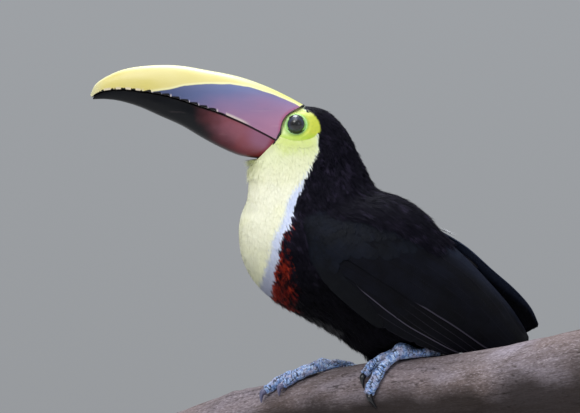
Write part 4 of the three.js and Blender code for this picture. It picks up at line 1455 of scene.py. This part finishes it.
flight = {
    # the lower edges in the side view that a group of vanes lies between, how many there are,
    # their widths, the depth of the layer, and the light edge of each
    "outer primaries": ([(-42, 203), (-9.4, 178), (29.8, 157.7), (52, 147.5)],
                        [(-34, 217), (-12.8, 198.5), (17.9, 175.5), (64, 149.5)], 3, (13, 13), -2.1,
                        (.2, .3, 1)),
    "inner primaries": ([(-44, 222), (-8, 200), (30, 172), (72, 146.5)],
                        [(-44, 230), (-2, 208), (45, 176.5), (88, 146)], 3, (12, 11), -1.8, (.35, .45, .5)),
    "secondaries": ([(-46, 237), (-10, 217), (24.7, 195), (55.3, 176.4), (98, 146)],
                    [(-6, 258), (30, 250), (66, 228), (94, 200), (119, 161)], 9, (25, 16), -1.2,
                    (.72, .03, .05, .03, .05, .06, .04, .1, .14)),
    "tertials": ([(20, 262), (48, 250), (72, 228), (98, 197), (120.5, 164)],
                 [(30, 266), (54, 250), (78, 226), (101, 198), (122, 169)], 3, (13, 11), -.9, (.2, .25, .3)),
    "primary coverts": ([(-67, 243), (-58, 221), (-42, 202), (-6, 172)],
                        [(-58, 244), (-50, 224), (-38, 207), (-18, 189)], 5, (10, 9), -.95,
                        (.15, .08, .1, .08, .1)),
}
coverts = {
    "front": [(-64, 231), (-71, 256), (-60, 275), (-22, 280), (30, 265), (60, 242)],
    "back": [(-41, 220), (-32, 232), (-12, 233), (8, 233), (38, 240), (66, 232)],
    # how far between those lines the tips lie, length, width
    "rows": [(.06, 7, 5), (.13, 8, 5.5), (.2, 9, 6), (.27, 10, 6.5), (.35, 12, 7.5), (.44, 14, 8.5),
             (.54, 17, 10), (.68, 22, 12), (1, 42, 15)],
}


edgeFades = {"inner primaries": (.4, .65), "first secondary": (.47, .55), "others": (.1, .3)}
scapularsEnd = {left: 5.6, right: 4.6}


def bladeUv(rows, columns, number, root=None, window=None):  # a strip for a large feather, else a patch
    s, t = grid(np.linspace(0, 1, rows), np.linspace(0, 1, columns))
    if root is None:
        return np.stack([number % 26 / 26 + .034 * t, number // 26 / 8 + .115 * s], -1)
    x, y, wide, high = window
    return np.stack([x + wide * root[0] / 10 + .003 * t, y + high * root[1] + .004 * s], -1)


def bladeShape(rows, columns, tip, neck):  # share along, share across from -1 to 1, and breadth
    along, across = grid(1 - (1 - np.linspace(0, 1, rows)) ** 1.15, np.linspace(-1, 1, columns))
    full = np.sqrt(np.clip(1 - (np.clip(along - (1 - tip), 0, None) / tip) ** 2, 0, 1))
    return along, across, full * mix(neck, 1, smooth(-.05, .3, along))


def splits(along, across, breadth, chance):  # small partings of the barbs at both edges
    pull = np.zeros_like(along)
    for edge in (-1, 1):
        for _ in range(random.poisson(chance)):
            where, deep, wide = random.uniform(.25, .97), random.uniform(.12, .4), random.uniform(.006, .014)
            cut = np.exp(-((along - where - .02 * (1 - np.abs(across))) / wide) ** 2)
            pull = np.maximum(pull, cut * smooth(.45, 1, across * edge) * deep)
    return breadth * (1 - pull)


def drift(u, v, seed):  # soft noise that differs from blade to blade
    return noise3(np.stack([u, v, 0 * u + random.uniform(0, 99)], -1), seed)


def wingBlade(side, line, width, out=-1.2, tilt=1.0, slope=0.0, rows=76, columns=13, tip=.14, neck=.6,
              chance=1.2, edgeTone=.3, number=None, shade=None, fade=(0, .1)):
    line = np.array(line, float)
    along, across, breadth = bladeShape(rows, columns, tip, neck)
    breadth = splits(along, across, breadth, chance)
    lower = between(line, along * (len(line) - 1))
    way = unit(np.gradient(lower[:, 0], axis=0))
    up = np.stack([-way[:, 1], way[:, 0]], -1)[:, None]
    xz = lower + up * (width * (.38 * (1 - breadth) + (1 - across) / 2 * breadth))[..., None]
    xz = xz + up * (.25 * drift(along * 9, across, 3))[..., None]
    place, share = wingPlace(xz, left)
    height = out + tilt * across / 2 + slope * (along - .5) + .0175 * width * (1 - across ** 2)
    height = height + .22 * np.exp(-(across / .09) ** 2) * (1 - .6 * along)  # the shaft
    height = height + .12 * drift(along * 14, across * 2, 7)
    points = clearOfPerch(wingSurface(np.clip(place, 0, 10), np.clip(share, .005, .995), side, height), .4)
    edgeTone = edgeTone * smooth(*fade, along)
    values = {"along": along, "across": across,
              "shade": random.random() if shade is None else mix(*shade, along), "edgeTone": edgeTone,
              # painted light: blue-grey near the wing's upper edge, full on the right wing and at .35 on the
              # left
              "brink": smooth(.16, .03, share) * (1 if side == right else .35)}
    root = None if number is not None else (np.clip(place[0, 0], 0, 10), np.clip(share[0, 0], 0, 1))
    patch = bladeUv(rows, columns, number, root, unwraps[f"wing{side}"])
    return points, [gridFaces(rows, columns)], values, patch


def flightFeathers(side, names):
    sets = []
    for name in names:
        lowest, highest, count, widths, out, edges = flight[name]
        for i in range(count):
            share = i / (count - 1)
            line = mix(np.array(lowest, float), np.array(highest, float), share)
            small = name == "primary coverts"
            kind = "first secondary" if name == "secondaries" and i == 0 else name
            fade = edgeFades.get(kind, edgeFades["others"])
            sets.append(wingBlade(side, line, mix(*widths, share), out + .04 * i, edgeTone=edges[i],
                                  chance=0 if edges[i] > .3 else 1.2, number=None if small else len(sets),
                                  shade=(.8, -1.4) if small else None, fade=fade))
    return sets


def covertFeathers(side):
    sets = flightFeathers(side, ["primary coverts"])
    front, back = np.array(coverts["front"], float), np.array(coverts["back"], float)
    last = len(front) - 1
    for row, (share, length, width) in enumerate(reversed(coverts["rows"])):
        t = np.linspace(0, last, 200)
        curve = mix(between(front, t), between(back, t), share)
        far = np.concatenate([[0], np.cumsum(np.linalg.norm(np.diff(curve, axis=0), axis=1))])
        count = int(far[-1] / (width * .5))
        for spot in (np.arange(count) + .5 + random.uniform(-.3, .3, count)) / count:
            at = np.interp(spot * far[-1], far, t)
            first, second = between(front, at), between(back, at)
            way = unit(unit(second - first + np.array([11, -6])) + random.normal(size=2) * .09)
            end = mix(first, second, share) + way * random.uniform(-.06, .06) * length
            end = end - np.array([-way[1], way[0]]) * width * .38
            detail = {"rows": 13, "columns": 7,
                      "tip": .5} if length < 20 else {"rows": 34, "columns": 9, "tip": .3}
            line = [end - way * length, end - way * length * .5 + np.array([0, .03 * length]), end]
            sets.append(wingBlade(side, line, width * random.uniform(.9, 1.15), -.85 + .03 * row, .3, .6,
                                  neck=.7, chance=.2, edgeTone=random.uniform(.02, .22), **detail))
    return sets


def vanePaint(name, dark, light, edge, specular):
    look = Look(name, .5, specular=specular)
    side = look.sum("ABSOLUTE", "across")
    barbs = look.sum("SINE", look.add(look.times("along", 420), look.times(side, -60)))
    tone = look.add(look.times(look.noise(55, 4), .85), look.times("shade", .15))
    base = look.layers(dark, [
        (light, tone, .3, .75),
        (edge, barbs, -.2, 1, 0, .08),
    ])
    # painted light: blue-grey along the lit upper edge of the wing
    base = look.blend(look.times("brink", .8), base, "#343C52")
    start = look.fit("edgeTone", .5, 1, .9, .82)
    margin = look.times(look.fit(look.less("across", start), 0, .1), "edgeTone")
    # painted shade: the vanes darker below 0.27 m, on the lower part
    base = look.over(base, "#020203", look.height(), .27, .16, 0, .55)
    base = look.blend(look.times(margin, .85), base, edge)
    look.paint(look.over(base, "#060608", side, .07, .02, 0, .4))
    look.rough(look.fit(look.noise(120, 3), .2, .8, .42, .6))
    look.relief(look.add(barbs, look.times(look.noise(800, 2), 1.2)), .04, .5)
    return look.material


def scapulars(side):  # soft feathers of the back that fall over the wing's upper edge
    def surface(u, v, out=0.0):
        return wingSurface(u, v, side, np.zeros(np.shape(u)) + out)
    style = {"shape": "hair", "length": 13, "width": 3.4, "rootOut": -1.6, "tipOut": .3, "wander": .24,
             "roll": .4, "lift": .6, "pull": (.25, 0, -.3), "range": ((0, 10), (-.1, .5))}
    u, v = rowsOn(surface, .5, scapularsEnd[side], -.04, .3, 2, 1.6)

    def keep(points, u, v):
        reach = np.interp(u, [.5, 1.3, 2.4, 3.3, 4.4, 5.2, 5.6], [0, .03, .08, .12, .08, .02, -.03])
        return v < reach + .05 * noise3(points / 7, 6)
    return layVanes(surface, u, v, style, unwraps[f"wing{side}"], keep)


flightLook = vanePaint("flightFeather", "#030408", "#0A0D17", "#47434F", .06)
covertLook = vanePaint("covertFeather", "#07090F", "#10141F", "#1A2030", .08)
for side in (left, right):
    name = sideName[side]
    joinVanes(f"flight_feathers_{name}", flightFeathers(side, list(flight)[:4]), "flight_feathers",
              flightLook, [f"wing_{name}"])
    joinVanes(f"coverts_{name}", covertFeathers(side), "flight_feathers", covertLook)
joinVanes("coat_scapulars", [scapulars(left), scapulars(right)])
print("wings made")


# the tail and its coverts

tailFeathers = {"pairs": 5, "width": 25, "fromAcross": (2, 9), "toAcross": (3.5, 17), "shorter": .045,
                "from": .06, "to": .985}


def tailRing(along, turn, out=0.0):  # the oval that the tail's coverts lie on
    share = np.clip(along, 0, 1) * 7
    thick = between(tail["thick"], share) / 2 + out + 5 * smooth(.12, -.2, along)
    wide = between(tail["halfWidth"], share) + out
    return tailSurface(along, np.sin(turn) * wide, np.cos(turn) * thick)


def rectrices():
    sets, group = [], tailFeathers
    for pair in reversed(range(group["pairs"])):
        share = pair / (group["pairs"] - 1)
        for side in (left, right):
            along, across, breadth = bladeShape(90, 13, .12, .5)
            breadth = splits(along, across, breadth, 2)
            reach = mix(group["from"], group["to"] - group["shorter"] * pair, along)
            middle = mix(mix(*group["fromAcross"], share), mix(*group["toAcross"], share), along) * side
            level = between(tail["thick"], reach * 7) / 2 - .9
            tilt, lift = (.3, 0) if pair else (0, .25)  # the middle two overlap
            over = level * (1 - 2 * share) * .92 + .5 * (1 - across ** 2) - .5 - tilt * side * across
            over = over + .3 * np.exp(-(across / .09) ** 2) * (1 - .6 * along) + lift * side
            points = tailSurface(reach, middle + across * breadth * group["width"] / 2, over)
            values = {"along": along, "across": across * side, "shade": random.random(),
                      "edgeTone": random.uniform(.1, .4), "brink": 0}
            sets.append((clearOfPerch(points, .4), [gridFaces(90, 13)], values, bladeUv(90, 13, len(sets))))
    return sets


def tailCoverts():
    base = {"shape": "plume", "length": 19, "width": 7, "rootOut": -4, "tipOut": .4, "wander": .12,
            "roll": .2, "lift": .6, "range": ((-.3, 1), (0, 2 * math.pi))}
    sets = []
    for isUpper, end in ((True, .3), (False, .42)):
        style = dict(base, white=int(isUpper), red=not isUpper)
        u, v = rowsOn(tailRing, -.26, end, *wholeTurn, 4, 3.4)
        sets.append(layVanes(tailRing, u, v, style, unwraps["tail"], lambda p, u,
                             v: (np.cos(v) > 0) == isUpper))
    return sets


joinVanes("tail_feathers", rectrices(), "flight_feathers", flightLook, ["tail"])
joinVanes("coat_tail_coverts", tailCoverts())
print("tail made")


# the branch

bark = {"rings": 420, "sides": 190, "capRings": 26,
        "grain": .5, "broad": .8, "crack": 1.1, "sunk": .7, "highest": .25}


def barkRelief(x, around):
    radius = perchAxis(x)[1]

    def wrapped(turn, pitch, breadth):  # places round the branch, drawn out along it
        return np.stack([x / pitch, radius * np.cos(turn) / breadth, radius * np.sin(turn) / breadth], -1)
    grain = lumps(wrapped(around, 34, 3.2), 1, 51, 3)
    broad = lumps(wrapped(around, 26, 13), 1, 61, 2)
    wavy = around + .06 * np.sin(x / 23) + .03 * np.sin(x / 9)
    thread = noise3(wrapped(wavy, 60, 3.75), 71)
    broken = noise3(np.stack([x / 40, around * 2, around * 0], -1), 81)
    crack = np.exp(-(thread / .035) ** 2) * smooth(-.1, .5, broken)
    knots = 0
    for place, lie, size, _ in perch["knots"]:
        away = np.hypot((x - place) * .8, radius * (around - math.radians(lie))) / size
        knots = knots + .6 * np.sin(away * 11) * np.exp(-(away / .8) ** 2)
    relief = bark["grain"] * grain + bark["broad"] * broad - bark["sunk"] - bark["crack"] * crack + knots
    return relief, crack


def branch():
    xs = np.linspace(*perchEnds, bark["rings"])
    turns = roundIn(bark["sides"])
    x, around = grid(xs, turns)
    relief, crack = barkRelief(x, (around + math.pi) % (2 * math.pi) - math.pi)
    points = perchSurface(x, around, np.minimum(relief, bark["highest"]))
    caps, capRings = [], bark["capRings"]
    inner = np.linspace(.02, 1, capRings)
    for end, inward in ((0, 1), (-1, -1)):
        ring, middle = points[end], points[end].mean(0)
        shares = np.linspace(1, .02, capRings)[:, None, None]
        spread = turns[None, :, None]
        spots = [shares * 12 + 0 * spread, spread * 6 + 0 * shares, 0 * shares * spread]
        rough = .5 * noise3(np.concatenate(spots, -1), 5)
        disc = middle + (ring - middle) * shares
        ridges = .4 * (1 + np.sin(shares[..., 0] * 60)) * (shares[..., 0] < .97)
        disc[..., 0] += inward * (np.abs(rough) + ridges) * .6
        caps.append(disc)
    whole = np.concatenate([caps[0][::-1], points[1:-1], caps[1]])

    def onRings(first, barked, last):  # values on a cut end, the bark and the other cut end
        level = np.zeros(capRings)
        return np.concatenate([first + level, barked, last + level])[:, None] + 0 * whole[..., 0]
    cut = onRings(1, np.zeros(len(points) - 2), 1)
    ringShare = onRings(inner, np.ones(len(points) - 2), np.linspace(1, .02, capRings))
    along = onRings(xs[0], xs[1:-1], xs[-1])
    faces = outwards(whole, closedLoft(whole))
    look = Look("weatheredWood", .85, specular=.25)
    lane = ("run", "aside", "over")
    broad = look.noise(.035, 4, (.45, 1, 1), .5, lane)
    grey = look.layers("#746869", [
        ("#91878F", broad, .36, .66),
        ("#7D6A62", look.noise(.02, 3, (.6, 1, 1), 0, lane), .42, .7, 0, .6),
    ])
    threads = look.noise(.42, 6, (.16, 1, 1), .5, lane)
    grey = look.layers(grey, [
        ("#5B4F4D", threads, .5, .7, 0, .55),
        ("#B4A8AC", threads, .42, .28, 0, .3),
    ])
    fibre = look.noise(1.7, 4, (.1, 1, 1), .2, lane)
    grey = look.over(grey, "#463B39", fibre, .56, .72, 0, .45)
    grain = look.noise(.9, 5, (.45, 1, 1), .2, lane)
    grey = look.layers(grey, [
        ("#4A3F3D", grain, .52, .66, 0, .5),
        ("#B9ADB2", grain, .46, .34, 0, .4),
    ])
    slit = look.sum("ABSOLUTE", look.less(look.noise(.22, 5, (.1, 1, 1), .3, lane), .5))
    slit = look.times(look.fit(slit, .012, .003), look.fit(look.noise(.05, 2, (.4, 1, 1), 0, lane), .48, .6))
    grey = look.blend(look.times(slit, .8), grey, "#2A211F")
    grey = look.blend(look.times("crack", .8), grey, "#2A211F")
    # painted shade: the underside of the branch darker, from the value up, broken by noise
    lower = look.add("up", look.times(look.less(look.noise(18, 3), .5), 1.1))
    grey = look.over(grey, "#241D1B", lower, .6, -.15, 0, .93)
    rings = look.sum("SINE", look.add(look.times("ring", 120), look.times(look.noise(20), 9)))
    cutWood = look.over("#B79C7C", "#8A6C4E", rings, -.6, 1, 0, .6)
    look.paint(look.blend("cut", grey, cutWood))
    look.relief(look.less(look.less(look.noise(1200, 3), look.times(fibre, 2)), slit), .5, .7)
    uncracked = np.zeros((capRings, bark["sides"]))
    radius = perchAxis(along)[1] * ringShare
    values = {"crack": np.concatenate([uncracked, crack[1:-1], uncracked]), "cut": cut, "ring": ringShare,
              "up": np.cos(turns)[None, :] + 0 * cut, "run": along, "aside": radius * np.sin(turns),
              "over": radius * np.cos(turns)}
    piece = makePiece("branch_wood", whole, faces, look.material, values)
    finishPiece(piece, "bark", "perch_branch")


branch()
print("branch made")


# the display stand

stand = {"length": 290, "breadth": 210, "thickness": 16, "bevel": 3, "rod": 5, "spread": 62, "flange": 14,
         "baseSides": 160, "rodSides": 40, "rodInto": 3}


def turned(profile, at, name, material, slot, node, sides):  # a form turned about an upright axis
    turn = roundIn(sides)
    points = np.array([[(at[0] + r * sx * math.cos(a), at[1] + r * sy * math.sin(a), z) for a in turn]
                       for r, z, sx, sy in profile])
    finishPiece(makePiece(name, points, outwards(points, closedLoft(points)), material), slot, node)


def standPieces():
    wood = Look("standWood", .4)
    grain = wood.noise(30, 6, (.25, 2.2, 1), .4)
    base = wood.over("#2B1E18", "#4A3428", grain, .35, .68)
    wood.paint(wood.over(base, "#1A120E", wood.noise(160, 3, (.12, 2, 1)), .55, .72, 0, .6))
    wood.rough(wood.fit(grain, .3, .7, .34, .5))
    wood.relief(wood.noise(220, 4, (.1, 2, 1)), .12, .5)
    wood.shader.inputs["Coat Weight"].default_value = .2
    bevel, thick = stand["bevel"], stand["thickness"]
    quarter = np.linspace(math.pi / 2, 0, 8)
    arc = [(bevel - bevel * math.cos(a), bevel - bevel * math.sin(a)) for a in quarter]
    arc += [(bevel - bevel * math.sin(a), thick - bevel + bevel * math.cos(a)) for a in quarter]
    profile = [(1, z, stand["length"] / 2 - inset, stand["breadth"] / 2 - inset) for inset, z in arc]
    inner = [(share, profile[-1][1], profile[-1][2], profile[-1][3]) for share in (.97, .6, .05)]
    lower = [(share, profile[0][1], profile[0][2], profile[0][3]) for share in (.05, .6, .97)]
    turned(lower + profile + inner, (0, 0), "stand_base_wood", wood.material, "stand_wood", "stand_base",
           stand["baseSides"])
    steel = Look("brushedSteel", .32)
    steel.shader.inputs["Metallic"].default_value = 1
    steel.paint(steel.blend(steel.noise(300, 3, (1, 1, .06)), "#7E8083", "#A6A8AB"))
    steel.rough(steel.fit(steel.noise(500, 2, (1, 1, .05)), .3, .7, .25, .42))
    steel.relief(steel.noise(900, 2, (1, 1, .04)), .04, .4)
    for x, node in ((-stand["spread"], "stand_rod_back"), (stand["spread"], "stand_rod_front")):
        centre, radius = perchAxis(np.array(float(x)))
        low, r, f = thick + .35, stand["rod"], stand["flange"]
        top = centre[2] - radius + stand["rodInto"]
        sections = [(.5, low), (f - .4, low), (f, low + .5), (f, low + 1.9), (f - .5, low + 2.4),
                    (r + 2.2, low + 3.6), (r + .8, low + 4.6), (r, low + 6.4), (r, top), (.5, top)]
        turned([(wide, z, 1, 1) for wide, z in sections], centre, node.replace("stand_", "") + "_steel",
               steel.material, "stand_steel", node, stand["rodSides"])


standPieces()
print("stand made")
